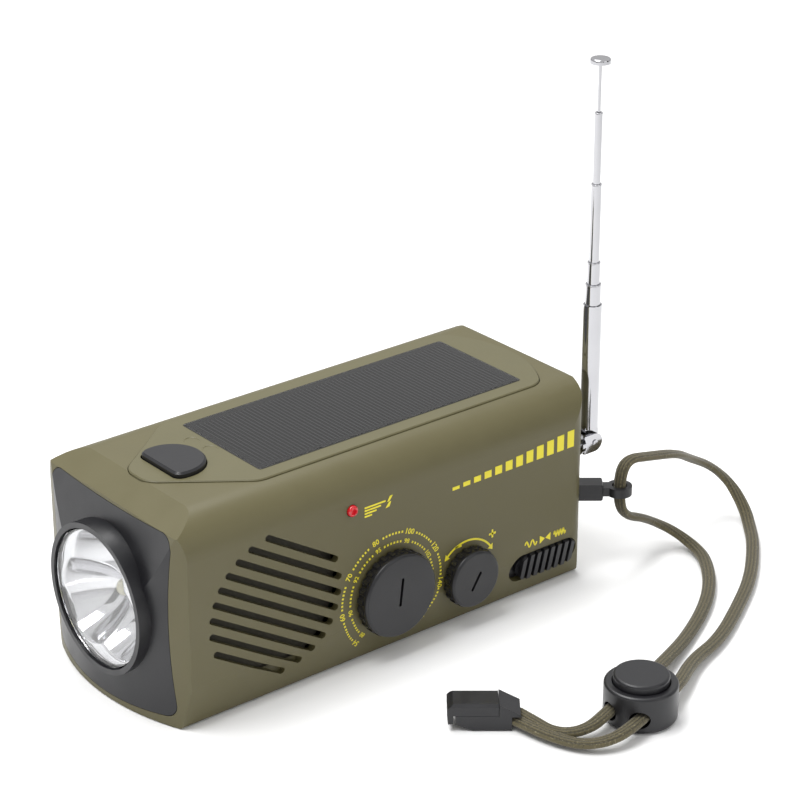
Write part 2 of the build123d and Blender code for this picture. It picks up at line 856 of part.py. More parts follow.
with BuildPart() as generator:
    with BuildSketch(gear_plane(generator_y - generator_length)):
        with Locations((-rotor_x, crank_z)):
            Circle(generator_radius)
    extrude(amount=generator_length)
    fillet(generator.faces().sort_by(Axis.Y)[0].edges(), 1)
    with BuildSketch(gear_plane(generator_y)):
        with Locations((-rotor_x, crank_z)):
            Circle(rotor_shaft_radius + bearing_gap)
    extrude(amount=-0.75 * generator_length, mode=Mode.SUBTRACT)
save(generator.part, "generator")

pin_x = crank_x - crank_radius
arm_end = crank_radius + 4.0
grip_y = arm_y + 4.0
slot_half = grip_radius + grip_clear
slot_reach = arm_half_width + 1.6  # where the grip's slot begins, from the axle
with BuildPart() as crank_arm:
    with BuildSketch(gear_plane(arm_y)):
        with Locations((-crank_x, crank_z)):
            Circle(arm_half_width + 1)
        with Locations((-crank_x, crank_z)):
            Rectangle(arm_end, 2 * (slot_half + 2.2), align=(Align.MIN, Align.CENTER))
        with Locations((-crank_x + slot_reach, crank_z)):
            Rectangle(arm_end, 2 * slot_half, align=(Align.MIN, Align.CENTER), mode=Mode.SUBTRACT)
    extrude(amount=crank_thickness)
    chamfer(crank_arm.faces().sort_by(Axis.Y)[-1].edges(), 0.5)
    with BuildSketch(gear_plane(arm_y)):
        with Locations((-crank_x, crank_z)):
            Circle(axle_radius)
    extrude(amount=0.6 * crank_thickness, mode=Mode.SUBTRACT)
    with BuildSketch(Plane.XY.offset(crank_z)):
        with Locations((pin_x, grip_y)):
            Circle(fold_pin_radius)
    extrude(amount=slot_half + 5, both=True, mode=Mode.SUBTRACT)
save(crank_arm.part, "crank_arm")

with BuildPart() as grip_pin:
    with BuildSketch(Plane.XY.offset(crank_z)):
        with Locations((pin_x, grip_y)):
            Circle(fold_pin_radius)
    extrude(amount=slot_half + 2.2, both=True)
save(grip_pin.part, "grip_pin")

post_end = fold_eye_radius + 0.6 + grip_length + 0.3
with BuildPart() as grip_post:
    with BuildSketch(Plane.XY.offset(crank_z)):
        with Locations((pin_x, grip_y)):
            Circle(fold_eye_radius)
    extrude(amount=slot_half - 0.3, both=True)
    with BuildSketch(Plane.YZ.offset(pin_x)):
        with Locations((grip_y, crank_z)):
            Circle(post_radius)
    extrude(amount=post_end)
    with BuildSketch(Plane.YZ.offset(pin_x + post_end)):
        with Locations((grip_y, crank_z)):
            Circle(post_head_radius)
    extrude(amount=0.9)
    with BuildSketch(Plane.XY.offset(crank_z)):
        with Locations((pin_x, grip_y)):
            Circle(fold_pin_radius + bearing_gap)
    extrude(amount=slot_half, both=True, mode=Mode.SUBTRACT)
save(grip_post.part, "grip_post")

with BuildPart() as crank_grip:
    with BuildSketch(Plane.YZ.offset(pin_x + fold_eye_radius + 0.6)):
        with Locations((grip_y, crank_z)):
            Circle(grip_radius)
            Circle(post_radius + bearing_gap, mode=Mode.SUBTRACT)
    extrude(amount=grip_length)
    chamfer(crank_grip.faces().filter_by(Axis.X).edges().filter_by(
        lambda edge: edge.length > 6 * grip_radius), 0.5)
save(crank_grip.part, "crank_grip")

# ---------------------------------------------------------------- charging port
with BuildPart() as usb_socket:
    with BuildSketch(far_plane(part_gap)):
        with Locations((-port_x, port_z)):
            Rectangle(port_width - 0.2, port_height - 0.2)
            Rectangle(port_width - 2 * port_wall, port_height - 2 * port_wall, mode=Mode.SUBTRACT)
    extrude(amount=-port_depth)
    with BuildSketch(far_plane(part_gap + port_depth)):
        with Locations((-port_x, port_z)):
            Rectangle(port_width - 0.2, port_height - 0.2)
    extrude(amount=-0.8)
save(usb_socket.part, "usb_socket")

cover_hinge_y = side_y + cover_gap + cover_bead_radius
cover_hinge_z = port_z + cover_height / 2 + 0.4
with BuildPart() as port_cover:
    with BuildSketch(far_plane(-cover_gap)):
        with Locations((-port_x, port_z)):
            RectangleRounded(cover_width, cover_height, 2)
    extrude(amount=cover_thickness)
    chamfer(port_cover.faces().sort_by(Axis.Y)[-1].edges(), 0.4)
    with BuildSketch(Plane.YZ.offset(port_x)):
        with Locations((cover_hinge_y, cover_hinge_z)):
            Circle(cover_bead_radius)
    extrude(amount=cover_width / 2 - 2, both=True)
save(port_cover.part, "port_cover")

with BuildPart() as housing_screws:
    with BuildSketch(gear_plane(side_y - screw_head - 0.2)):
        with Locations(*[(-x, z) for x, z in screw_places]):
            Circle(screw_head_radius)
    extrude(amount=screw_head)
    with BuildSketch(gear_plane(side_y - screw_head - 0.2)):
        with Locations(*[(-x, z) for x, z in screw_places]):
            Circle(screw_radius)
    extrude(amount=-(side_y + 6))
    with BuildSketch(gear_plane(side_y - 0.2)):
        with Locations(*[(-x, z) for x, z in screw_places]):
            Rectangle(3.2, 0.8)
            Rectangle(0.8, 3.2)
    extrude(amount=-0.9, mode=Mode.SUBTRACT)
save(housing_screws.part, "housing_screws")

# ---------------------------------------------------------------- antenna
with BuildPart() as antenna_fork:
    with BuildSketch(Plane.YZ.offset(tail_side_x - 5)):
        with Locations((mast_y, mast_z)):
            Circle(stud_radius)
    extrude(amount=7.5)
    with BuildSketch(Plane.YZ.offset(tail_side_x + 2.5)):
        with Locations((mast_y, mast_z)):
            Circle(3.6)
    extrude(amount=1.2)
    with BuildSketch(Plane.XZ.offset(-mast_y)):
        with Locations((mast_x, mast_z)):
            Circle(fork_radius)
        with Locations((tail_side_x + 3.6, mast_z)):
            Rectangle(mast_x - tail_side_x - 3.6, 2 * fork_radius, align=(Align.MIN, Align.CENTER))
    extrude(amount=fork_half_width, both=True)
    with BuildSketch(Plane.XZ.offset(-mast_y)):
        with Locations((mast_x - fork_radius - 0.4, mast_z)):
            Rectangle(3 * fork_radius, 3 * fork_radius, align=(Align.MIN, Align.CENTER))
    extrude(amount=tongue_half_width + 0.1, both=True, mode=Mode.SUBTRACT)
    with BuildSketch(Plane.XZ.offset(-mast_y)):
        with Locations((mast_x, mast_z)):
            Circle(mast_pin_radius)
    extrude(amount=2 * fork_half_width, both=True, mode=Mode.SUBTRACT)
save(antenna_fork.part, "antenna_fork")

with BuildPart() as antenna_pin:
    with BuildSketch(Plane.XZ.offset(-mast_y)):
        with Locations((mast_x, mast_z)):
            Circle(mast_pin_radius)
    extrude(amount=fork_half_width + 0.3, both=True)
save(antenna_pin.part, "antenna_pin")


def tube_ring(bottom, outer, inner, length):
    """A length of tube on the antenna's own axis."""
    with BuildPart() as ring:
        with BuildSketch(Plane.XY.offset(bottom)):
            with Locations((mast_x, mast_y)):
                Circle(outer)
                Circle(inner, mode=Mode.SUBTRACT)
        extrude(amount=length)
    return ring.part


with BuildPart() as antenna_base:
    add(tube_ring(tube_foot_z, tube_radii[0], tube_radii[1] + slide_gap, tube_tops[0] - tube_foot_z))
    with BuildSketch(Plane.XZ.offset(-mast_y)):
        with Locations((mast_x, mast_z)):
            Circle(fork_radius - 0.3)
        with Locations((mast_x, mast_z)):
            Rectangle(2 * (fork_radius - 0.3), tube_foot_z - mast_z + 0.6, align=(Align.CENTER, Align.MIN))
        with Locations((mast_x, mast_z)):
            Circle(mast_pin_radius + bearing_gap, mode=Mode.SUBTRACT)
    extrude(amount=tongue_half_width, both=True)
    with BuildSketch(Plane.XY.offset(tube_foot_z)):
        with Locations((mast_x, mast_y)):
            Circle(tube_radii[0])
    extrude(amount=0.6)
save(antenna_base.part, "antenna_base")

for step in range(1, 5):
    bore = tube_radii[step + 1] + slide_gap if step < 4 else rod_radius + slide_gap
    bottom = tube_tops[step] - tube_lengths[step]
    save(tube_ring(bottom, tube_radii[step], bore, tube_lengths[step]), f"antenna_tube_{step + 1}")

with BuildPart() as antenna_rod:
    with BuildSketch(Plane.XY.offset(tip_z - tip_height - rod_length)):
        with Locations((mast_x, mast_y)):
            Circle(rod_radius)
    extrude(amount=rod_length)
    with BuildSketch(Plane.XY.offset(tip_z - tip_height)):
        with Locations((mast_x, mast_y)):
            Circle(tip_radius)
    extrude(amount=tip_height)
    fillet(antenna_rod.faces().sort_by(Axis.Z)[-1].edges(), 0.6)
save(antenna_rod.part, "antenna_rod")

# ---------------------------------------------------------------- strap lug
with BuildPart() as strap_lug:
    with BuildSketch(lug_plane.offset(-lug_height / 2)):
        with Locations((-lug_embed, 0)):
            Rectangle(lug_embed + lug_root_length, 2 * lug_half_width, align=(Align.MIN, Align.CENTER))
    extrude(amount=lug_height)
    fillet(strap_lug.faces().sort_by(Axis.X)[-1].edges(), lug_edge)
    with BuildSketch(lug_plane.offset(-lug_ring_height / 2)):
        with Locations((lug_eye, 0)):
            Circle(lug_eye_radius + lug_ring_wall)
        with Locations((lug_root_length - 2, 0)):
            Rectangle(
                lug_eye - lug_root_length + 2, 2 * lug_half_width - 1, align=(Align.MIN, Align.CENTER)
            )
        with Locations((lug_eye, 0)):
            Circle(lug_eye_radius, mode=Mode.SUBTRACT)
    extrude(amount=lug_ring_height)
save(strap_lug.part, "strap_lug")

# ---------------------------------------------------------------- wrist cord
# the two legs leave the lug's eye, one up and one down, and run through the lock to the clip
outer_route = [
    (87.4, -36.1, 25.9),
    (87.4, -36.1, 31.2),
    (91.2, -35.5, 34.7),
    (98.8, -35.9, 33.3),
    (112.4, -34.5, 29.8),
    (125.8, -27.8, 21.3),
    (135.2, -27.7, 16.0),
    (140.2, -32.0, 9.9),
    (139.2, -39.6, 4.0),
    (135.4, -45.3, 1.6),
    (128.2, -54.0, 1.6),
    (112.0, -68.6, 1.6),
    (97.2, -78.2, 1.6),
    (77.4, -89.6, 1.8),
    (61.6, -94.2, 2.6),
    (46.5, -103.7, 4.4),
    (34.6, -107.1, 4.5),
    (22.6, -111.2, 4.4),
    (14.6, -111.2, 3.0),
    (8.4, -107.0, 1.8),
    (4.9, -99.8, 1.9),
    (3.0, -92.0, 2.1),
    (2.0, -84.0, 2.2),
]
inner_route = [
    (87.4, -36.1, 25.9),
    (87.4, -36.1, 20.4),
    (91.2, -35.8, 15.6),
    (97.6, -35.1, 12.8),
    (104.3, -33.6, 8.8),
    (110.2, -37.0, 5.0),
    (112.2, -44.2, 1.9),
    (109.2, -52.2, 1.6),
    (99.4, -64.0, 1.6),
    (86.8, -73.9, 1.6),
    (70.3, -83.0, 1.6),
    (56.4, -89.2, 2.9),
    (43.7, -94.9, 4.4),
    (31.8, -98.4, 4.5),
    (19.9, -102.4, 4.4),
    (14.2, -102.8, 3.0),
    (9.2, -100.2, 1.9),
    (6.2, -95.6, 1.8),
    (5.9, -89.6, 2.0),
    (5.35, -83.42, 2.2),
]


def cord_leg(route, name):
    """A plain tube along straight runs joined by the largest arcs that they allow."""
    points = [Vector(*p) for p in route]
    radii = []
    for before, here, after in zip(points, points[1:], points[2:]):
        shorter = min((here - before).length, (after - here).length)
        turn = (here - before).get_angle(after - here)
        radii.append(0.45 * shorter / math.tan(math.radians(turn / 2)))
    with BuildPart() as leg:
        with BuildLine() as line:
            FilletPolyline(*points, radius=radii)
        with BuildSketch(Plane(origin=points[0], z_dir=points[1] - points[0])):
            Circle(cord_radius)
        sweep()
    length = sum(edge.length for edge in line.edges())
    share = leg.part.volume / (math.pi * cord_radius**2 * length)
    print(name, "length", round(length, 1), "volume share", round(share, 3))
    print("  radii", [round(r, 1) for r in radii])
    save(leg.part, name)


cord_leg(outer_route, "wrist_cord_outer")
cord_leg(inner_route, "wrist_cord_inner")

# the lock's own plane: X along the cord channels, Y across them
lock_plane = Plane(
    origin=(lock_x, lock_y, 0),
    x_dir=(math.cos(math.radians(lock_angle)), math.sin(math.radians(lock_angle)), 0),
    z_dir=(0, 0, 1),
)
with BuildPart() as cord_lock_body:
    with BuildSketch(lock_plane):
        Circle(lock_radius)
    extrude(amount=lock_height)
    fillet(cord_lock_body.faces().sort_by(Axis.Z)[-1].edges(), 0.8)
    fillet(cord_lock_body.faces().sort_by(Axis.Z)[0].edges(), 1.2)
    with BuildSketch(lock_plane.offset(lock_well_floor)):
        Circle(lock_button_radius + moving_gap)
    extrude(amount=lock_height, mode=Mode.SUBTRACT)
    across = Plane(origin=lock_plane.origin, x_dir=lock_plane.y_dir, z_dir=lock_plane.x_dir)
    with BuildSketch(across.offset(-2 * lock_radius)):
        with Locations((-channel_offset, channel_z), (channel_offset, channel_z)):
            Circle(channel_radius)
    extrude(amount=4 * lock_radius, mode=Mode.SUBTRACT)
save(cord_lock_body.part, "cord_lock_body")

with BuildPart() as cord_lock_button:
    with BuildSketch(lock_plane.offset(lock_button_z)):
        Circle(lock_button_radius)
    extrude(amount=lock_button_height)
    fillet(cord_lock_button.faces().sort_by(Axis.Z)[-1].edges(), 0.8)
save(cord_lock_button.part, "cord_lock_button")

spring_space = lock_button_z - lock_well_floor - spring_wire
with BuildPart() as cord_lock_spring:
    with BuildLine():
        coil = Helix(
            pitch=(spring_space - spring_wire - 0.1) / spring_turns,
            height=spring_space - spring_wire - 0.1,
            radius=spring_radius,
            center=(lock_x, lock_y, lock_well_floor + spring_wire + 0.05),
        )
    with BuildSketch(Plane(origin=coil @ 0, z_dir=coil % 0)):
        Circle(spring_wire / 2)
    sweep()
save(cord_lock_spring.part, "cord_lock_spring")

# the end clip's own plane: X from its closed end to the hood that the cord enters, Y up
clip_axis = Vector(math.cos(math.radians(clip_angle)), math.sin(math.radians(clip_angle)), 0)
clip_plane = Plane(
    origin=(clip_x, clip_y, 0), x_dir=clip_axis, z_dir=clip_axis.cross(Vector(0, 0, 1))
)
# both legs end side by side on one plane inside the hood
outer_end, inner_end = Vector(*outer_route[-1]), Vector(*inner_route[-1])
leg_spacing = (inner_end - outer_end).length
mouth_plane = Plane(
    origin=((outer_end.X + inner_end.X) / 2, (outer_end.Y + inner_end.Y) / 2, 0),
    x_dir=inner_end - outer_end,
    z_dir=Vector(0, 0, 1).cross(outer_end - inner_end),
)
mouth_width = leg_spacing + 2 * (cord_radius + 2 * moving_gap)
mouth_top = outer_end.Z + cord_radius + moving_gap
with BuildPart() as cord_end_body:
    with BuildSketch(clip_plane):
        with BuildLine():
            Polyline(
                (clip_tab + 2 * moving_gap, clip_heel),
                (clip_length / 2, 0),
                (clip_length + hood_length, 0),
                (clip_length + hood_length, hood_height),
                (clip_length + part_gap, clip_height),
                (clip_length + part_gap, clip_split_z),
                (clip_tab + 2 * moving_gap, clip_split_z),
                close=True,
            )
        make_face()
    extrude(amount=clip_half_width, both=True)
    with BuildSketch(mouth_plane):
        Rectangle(mouth_width, 2 * mouth_top)
    extrude(amount=2 * hood_length, mode=Mode.SUBTRACT)
save(cord_end_body.part, "cord_end_body")

with BuildPart() as cord_end_cover:
    with BuildSketch(clip_plane):
        with BuildLine():
            Polyline(
                (0.3, clip_heel),
                (0, clip_split_z),
                (0, clip_height - clip_slant),
                (clip_slant, clip_height),
                (clip_length, clip_height),
                (clip_length, clip_split_z + part_gap / 2),
                (clip_tab, clip_split_z + part_gap / 2),
                (clip_tab, clip_heel),
                close=True,
            )
        make_face()
    extrude(amount=clip_half_width, both=True)
    chamfer(cord_end_cover.edges().filter_by(lambda edge: edge.length > 0.7 * clip_length)
            .group_by(Axis.Z)[-1], 0.8)
save(cord_end_cover.part, "cord_end_cover")
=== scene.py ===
# %% [markdown]
# # A hand-cranked emergency radio
# The radio is a moulded olive casing with a lamp in its nose, a solar panel on its back, two
# knobs and a band switch on one side, a crank on the other, a telescopic aerial and a wrist cord.
# Its real shapes and its joints are already modelled in CAD. This lesson loads them as a frame that
# stays where it is, gives every piece its finish, and adds what CAD leaves out: the braid of the cord,
# the facets of the mirror, the printing, the gasket round the panel and the rolled mouths of the aerial.

# %% Load the frame
import json
import math

import bmesh
import bpy
import numpy as np
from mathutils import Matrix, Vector


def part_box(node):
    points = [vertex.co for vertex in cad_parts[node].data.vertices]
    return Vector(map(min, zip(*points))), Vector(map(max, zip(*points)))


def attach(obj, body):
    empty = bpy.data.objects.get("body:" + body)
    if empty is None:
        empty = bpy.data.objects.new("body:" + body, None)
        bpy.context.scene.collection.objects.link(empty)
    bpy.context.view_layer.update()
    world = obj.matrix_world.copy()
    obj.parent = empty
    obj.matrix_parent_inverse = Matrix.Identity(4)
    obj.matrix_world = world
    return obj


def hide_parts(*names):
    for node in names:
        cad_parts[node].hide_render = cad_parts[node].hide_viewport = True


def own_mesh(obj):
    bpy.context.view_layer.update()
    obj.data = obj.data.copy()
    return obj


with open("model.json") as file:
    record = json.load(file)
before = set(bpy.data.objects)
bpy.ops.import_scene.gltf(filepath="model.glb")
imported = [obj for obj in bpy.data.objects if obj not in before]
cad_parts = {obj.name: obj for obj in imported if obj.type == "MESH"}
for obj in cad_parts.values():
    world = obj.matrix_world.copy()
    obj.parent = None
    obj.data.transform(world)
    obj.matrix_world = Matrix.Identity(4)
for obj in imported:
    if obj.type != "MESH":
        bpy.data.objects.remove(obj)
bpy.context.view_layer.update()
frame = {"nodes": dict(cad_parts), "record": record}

nodes = frame["nodes"]

# %% [markdown]
# ## The camera
# A catalogue picture is taken from a few lengths away with a long lens, which keeps the two ends of
# the casing nearly the same size. The same view could be had with an orthographic camera, but a long
# lens keeps the slight convergence of the sides. It stands off the lamp corner and looks down by
# about 25 degrees, so that the nose, the controls and the panel all show.

# %% Camera
camera_data = bpy.data.cameras.new("shop_camera")
camera_data.lens = 118.06
camera_data.sensor_width = 36.0
camera_data.clip_start, camera_data.clip_end = 0.05, 20.0
camera = bpy.data.objects.new("shop_camera", camera_data)
camera.location = (-0.4077, -0.5408, 0.3773)
camera.rotation_euler = (math.radians(90 - 24.58), 0.0, math.radians(-39.11))
bpy.context.scene.collection.objects.link(camera)
bpy.context.scene.camera = camera
print("lens", camera_data.lens, "mm")

# %% [markdown]
# ## Helpers for surfaces
# Every new piece is a surface over a grid of two parameters. One helper numbers the quads of such a
# grid, closing it round where the surface meets itself, and another turns arrays into a mesh object.
# Keeping the arithmetic in arrays makes a surface of thousands of points as easy as one of ten.

# %% Grid and mesh helpers
def grid_quads(rows, columns, wrap_rows=False, wrap_columns=False):
    """Corner numbers of the quads of a rows x columns grid of points stored row after row.
    The quad of point (i, j) uses (i, j), (i, j+1), (i+1, j+1), (i+1, j)."""
    i = np.arange(rows if wrap_rows else rows - 1)
    j = np.arange(columns if wrap_columns else columns - 1)
    i, j = [a.ravel() for a in np.meshgrid(i, j, indexing="ij")]
    i2, j2 = (i + 1) % rows, (j + 1) % columns
    return np.stack([i * columns + j, i * columns + j2, i2 * columns + j2, i2 * columns + j], 1)


def mesh_piece(name, points, faces, smooth=True):
    """A mesh object at the origin from an array of points in metres and a list of faces."""
    data = bpy.data.meshes.new(name)
    points = np.asarray(points, float).reshape(-1, 3)
    data.from_pydata(points.tolist(), [], [[int(c) for c in face] for face in faces])
    data.update()
    if smooth:
        data.shade_smooth()
    piece = bpy.data.objects.new(name, data)
    bpy.context.scene.collection.objects.link(piece)
    return piece


def point_outwards(piece):
    """Merges doubled points and turns every face of a closed surface outwards."""
    work = bmesh.new()
    work.from_mesh(piece.data)
    bmesh.ops.remove_doubles(work, verts=work.verts, dist=1e-6)
    bmesh.ops.recalc_face_normals(work, faces=work.faces)
    work.to_mesh(piece.data)
    work.free()
    return piece




# %% [markdown]
# ## The wrist cord's two legs
# The cord is a flat braid about 4 mm wide. Both legs leave the eye of the lug, run down to the lock,
# pass through its two channels and end in the hood of the plastic clip. A cord could be a bevelled
# curve, which can only have a smooth round section. Here its line is a NURBS curve through a few
# listed points, and the braid is a surface carried along that line: the section is a flattened
# oval with ribs on each flat side.

# %% Routes of the two legs, in metres
outer_route = [
    (0.0874, -0.0361, 0.0259), (0.0874, -0.0361, 0.0312), (0.0912, -0.0355, 0.0347),
    (0.0988, -0.0359, 0.0333), (0.1124, -0.0345, 0.0298), (0.1258, -0.0278, 0.0213),
    (0.1352, -0.0277, 0.0160), (0.1402, -0.0320, 0.0099), (0.1392, -0.0396, 0.0040),
    (0.1354, -0.0453, 0.0016), (0.1282, -0.0540, 0.0016), (0.1120, -0.0686, 0.0016),
    (0.0972, -0.0782, 0.0016), (0.0774, -0.0896, 0.0018), (0.0616, -0.0942, 0.0026),
    (0.0465, -0.1037, 0.0044), (0.0346, -0.1071, 0.0045), (0.0226, -0.1112, 0.0044),
    (0.0146, -0.1112, 0.0030), (0.0084, -0.1070, 0.0018), (0.0049, -0.0998, 0.0019),
    (0.0030, -0.0920, 0.0021), (0.0020, -0.0840, 0.0022),
]
inner_route = [
    (0.0874, -0.0361, 0.0259), (0.0874, -0.0361, 0.0204), (0.0912, -0.0358, 0.0156),
    (0.0976, -0.0351, 0.0128), (0.1043, -0.0336, 0.0088), (0.1102, -0.0370, 0.0050),
    (0.1122, -0.0442, 0.0019), (0.1092, -0.0522, 0.0016), (0.0994, -0.0640, 0.0016),
    (0.0868, -0.0739, 0.0016), (0.0703, -0.0830, 0.0016), (0.0564, -0.0892, 0.0029),
    (0.0437, -0.0949, 0.0044), (0.0318, -0.0984, 0.0045), (0.0199, -0.1024, 0.0044),
    (0.0142, -0.1028, 0.0030), (0.0092, -0.1002, 0.0019), (0.0062, -0.0956, 0.0018),
    (0.0059, -0.0896, 0.0020), (0.00535, -0.08342, 0.0022),
]
cord_width, cord_thickness = 0.0041, 0.0025


# %% A smooth line through a route
def spline_points(name, route):
    """Points close together along an open NURBS spline of order 3 that has the route as its
    control points, read back from the curve as a mesh."""
    data = bpy.data.curves.new(name, "CURVE")
    data.dimensions = "3D"
    data.resolution_u = 40
    spline = data.splines.new("NURBS")
    spline.points.add(len(route) - 1)
    for point, place in zip(spline.points, route):
        point.co = (*place, 1.0)
    spline.order_u = 3
    spline.use_endpoint_u = True
    holder = bpy.data.objects.new(name, data)
    bpy.context.scene.collection.objects.link(holder)
    bpy.context.view_layer.update()
    line = bpy.data.meshes.new_from_object(holder)
    points = np.zeros(len(line.vertices) * 3)
    line.vertices.foreach_get("co", points)
    bpy.data.objects.remove(holder)
    bpy.data.meshes.remove(line)
    bpy.data.curves.remove(data)
    return points.reshape(-1, 3)


def evenly(points, step):
    """The same line with points about one step apart, by its length so far."""
    gaps = np.linalg.norm(np.diff(points, axis=0), axis=1)
    keep = np.r_[True, gaps > 1e-9]
    points, gaps = points[keep], gaps[gaps > 1e-9]
    along = np.r_[0.0, np.cumsum(gaps)]
    wanted = np.linspace(0.0, along[-1], int(round(along[-1] / step)) + 1)
    return np.stack([np.interp(wanted, along, points[:, k]) for k in range(3)], 1), wanted


# %% [markdown]
# The section turns with the line. Its wide side stays level, as a flat cord lies, so the sideways
# direction is the line's own direction crossed with straight up. The braid is a small ripple: two sets
# of strands cross at opposite slants, so the surface rises and falls with the product of two slanted
# waves, and three grooves run along each flat side.

# %% Braided leg
strand_pitch = 0.0021


def braided_leg(name, route):
    """A tube with a flattened oval section. Half width times cosine goes sideways and half thickness
    times sine goes up, both raised to 0.8 to square the oval. The surface swells by a rib wave
    across the flat sides and by a braid wave, the product of two slanted sines."""
    line, along = evenly(spline_points(name + "_line", route), 0.00042)
    ahead = np.gradient(line, axis=0)
    ahead /= np.linalg.norm(ahead, axis=1)[:, None]
    side = np.cross(ahead, [0.0, 0.0, 1.0])
    steep = np.linalg.norm(side, axis=1) < 0.12
    side[steep] = side[np.argmax(~steep)]
    side /= np.linalg.norm(side, axis=1)[:, None]
    up = np.cross(side, ahead)
    up /= np.linalg.norm(up, axis=1)[:, None]
    side = np.cross(ahead, up)
    count = 44
    angle = np.linspace(0.0, 2 * np.pi, count, endpoint=False)
    c, s = np.cos(angle), np.sin(angle)
    across = np.sign(c) * np.abs(c) ** 0.8
    high = np.sign(s) * np.abs(s) ** 0.8
    rib = 0.00013 * np.cos(4 * np.pi * across)
    phase = along[:, None] * 2 * np.pi / strand_pitch
    weave = 0.00006 * np.sin(phase + 4 * angle) * np.sin(phase - 4 * angle)
    swell = rib + weave
    half_width = cord_width / 2 - 0.0001 + 0.4 * swell
    half_height = cord_thickness / 2 - 0.0001 + swell
    points = (line[:, None, :] + side[:, None, :] * (half_width * across)[:, :, None]
              + up[:, None, :] * (half_height * high)[:, :, None])
    rows = len(line)
    faces = grid_quads(rows, count, wrap_columns=True)[:, ::-1].tolist()
    faces.append(list(range(count)))
    faces.append(list(range((rows - 1) * count, rows * count))[::-1])
    piece = point_outwards(mesh_piece(name, points, faces))
    ribs = piece.data.attributes.new("braid_height", "FLOAT", "POINT")
    height = (rib[None, :] + weave) / 0.00019
    ribs.data.foreach_set("value", height.ravel().astype(np.float32))
    distance = piece.data.attributes.new("braid_along", "FLOAT", "POINT")
    distance.data.foreach_set("value", np.repeat(along / strand_pitch, count).astype(np.float32))
    turn = piece.data.attributes.new("braid_round", "FLOAT", "POINT")
    turn.data.foreach_set("value", np.tile(across * 2.0, rows).astype(np.float32))
    print(name, "length", round(along[-1] * 1000, 1), "mm, points", rows * count)
    return piece, line


outer_leg, outer_line = braided_leg("braid_outer", outer_route)
inner_leg, inner_line = braided_leg("braid_inner", inner_route)
for piece, node in ((outer_leg, "wrist_cord_outer"), (inner_leg, "wrist_cord_inner")):
    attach(piece, "casing")
    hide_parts(node)

# %% [markdown]
# ## Floor and light
# A pale floor and three large soft lamps, as in a small product studio. The key light comes from the
# lamp end and above, a broad one from the control side fills the face, and a third behind draws the
# edges of the chrome. The surroundings are white overhead and a little darker towards the horizon, which
# gives the shiny pieces something to mirror.

# %% Stage
floor_half, floor_level = 4.0, -0.0003
floor = mesh_piece("studio_floor", [(x * floor_half, y * floor_half, floor_level)
                                    for x, y in ((-1, -1), (1, -1), (1, 1), (-1, 1))], [(0, 1, 2, 3)])
floor_paint = bpy.data.materials.new("studio_floor")
floor_paint.use_nodes = True
floor_shader = floor_paint.node_tree.nodes["Principled BSDF"]
floor_shader.inputs["Base Color"].default_value = (0.93, 0.93, 0.93, 1)
floor_shader.inputs["Roughness"].default_value = 0.75
floor_shader.inputs["Specular IOR Level"].default_value = 0.2
floor.data.materials.append(floor_paint)

world = bpy.data.worlds.new("studio")
world.use_nodes = True
sky = world.node_tree
sky_place = sky.nodes.new("ShaderNodeTexCoord")
sky_split = sky.nodes.new("ShaderNodeSeparateXYZ")
sky_ramp = sky.nodes.new("ShaderNodeValToRGB")
sky_ramp.color_ramp.elements[0].position = 0.02
sky_ramp.color_ramp.elements[0].color = (0.55, 0.55, 0.56, 1)
sky_ramp.color_ramp.elements[1].position = 0.45
sky_ramp.color_ramp.elements[1].color = (1, 1, 1, 1)
sky.links.new(sky_place.outputs["Generated"], sky_split.inputs[0])
sky.links.new(sky_split.outputs["Z"], sky_ramp.inputs[0])
sky.links.new(sky_ramp.outputs[0], sky.nodes["Background"].inputs["Color"])
sky.nodes["Background"].inputs["Strength"].default_value = 0.82
bpy.context.scene.view_settings.view_transform = "Standard"
bpy.context.scene.world = world


def soft_lamp(name, place, target, size, power):
    """A square area lamp at one point that faces another."""
    data = bpy.data.lights.new(name, "AREA")
    data.size, data.energy = size, power
    lamp = bpy.data.objects.new(name, data)
    lamp.location = place
    lamp.rotation_euler = (Vector(target) - Vector(place)).to_track_quat("-Z", "Y").to_euler()
    bpy.context.scene.collection.objects.link(lamp)
    return lamp


def dark_card(name, corners):
    """A black board that stands beside the set. Shiny pieces mirror it as a dark stripe, which
    draws their edges against the white, and the camera itself doesn't see it."""
    card = mesh_piece(name, corners, [(0, 1, 2, 3)], smooth=False)
    card.visible_camera = False
    paint = bpy.data.materials.new(name)
    paint.use_nodes = True
    paint.node_tree.nodes["Principled BSDF"].inputs["Base Color"].default_value = (0.01, 0.01, 0.01, 1)
    paint.node_tree.nodes["Principled BSDF"].inputs["Roughness"].default_value = 0.9
    card.data.materials.append(paint)


dark_card("card_left", [(-0.75, -0.20, 0.0), (-0.90, 0.15, 0.0), (-0.90, 0.15, 0.8), (-0.75, -0.20, 0.8)])
dark_card("card_right", [(0.55, -0.80, 0.0), (0.75, -0.55, 0.0), (0.75, -0.55, 0.8), (0.55, -0.80, 0.8)])
dark_card("card_front", [(-0.22, -1.10, 0.0), (-0.02, -1.14, 0.0), (-0.02, -1.14, 0.7), (-0.22, -1.10, 0.7)])

soft_lamp("key_light", (-0.35, 0.05, 0.95), (0.0, 0.0, 0.03), 0.45, 6.5)
soft_lamp("fill_light", (0.30, -0.95, 0.50), (0.0, 0.0, 0.03), 0.6, 1.0)
soft_lamp("back_light", (0.20, 0.40, 1.00), (0.0, 0.0, 0.05), 0.4, 4.5)

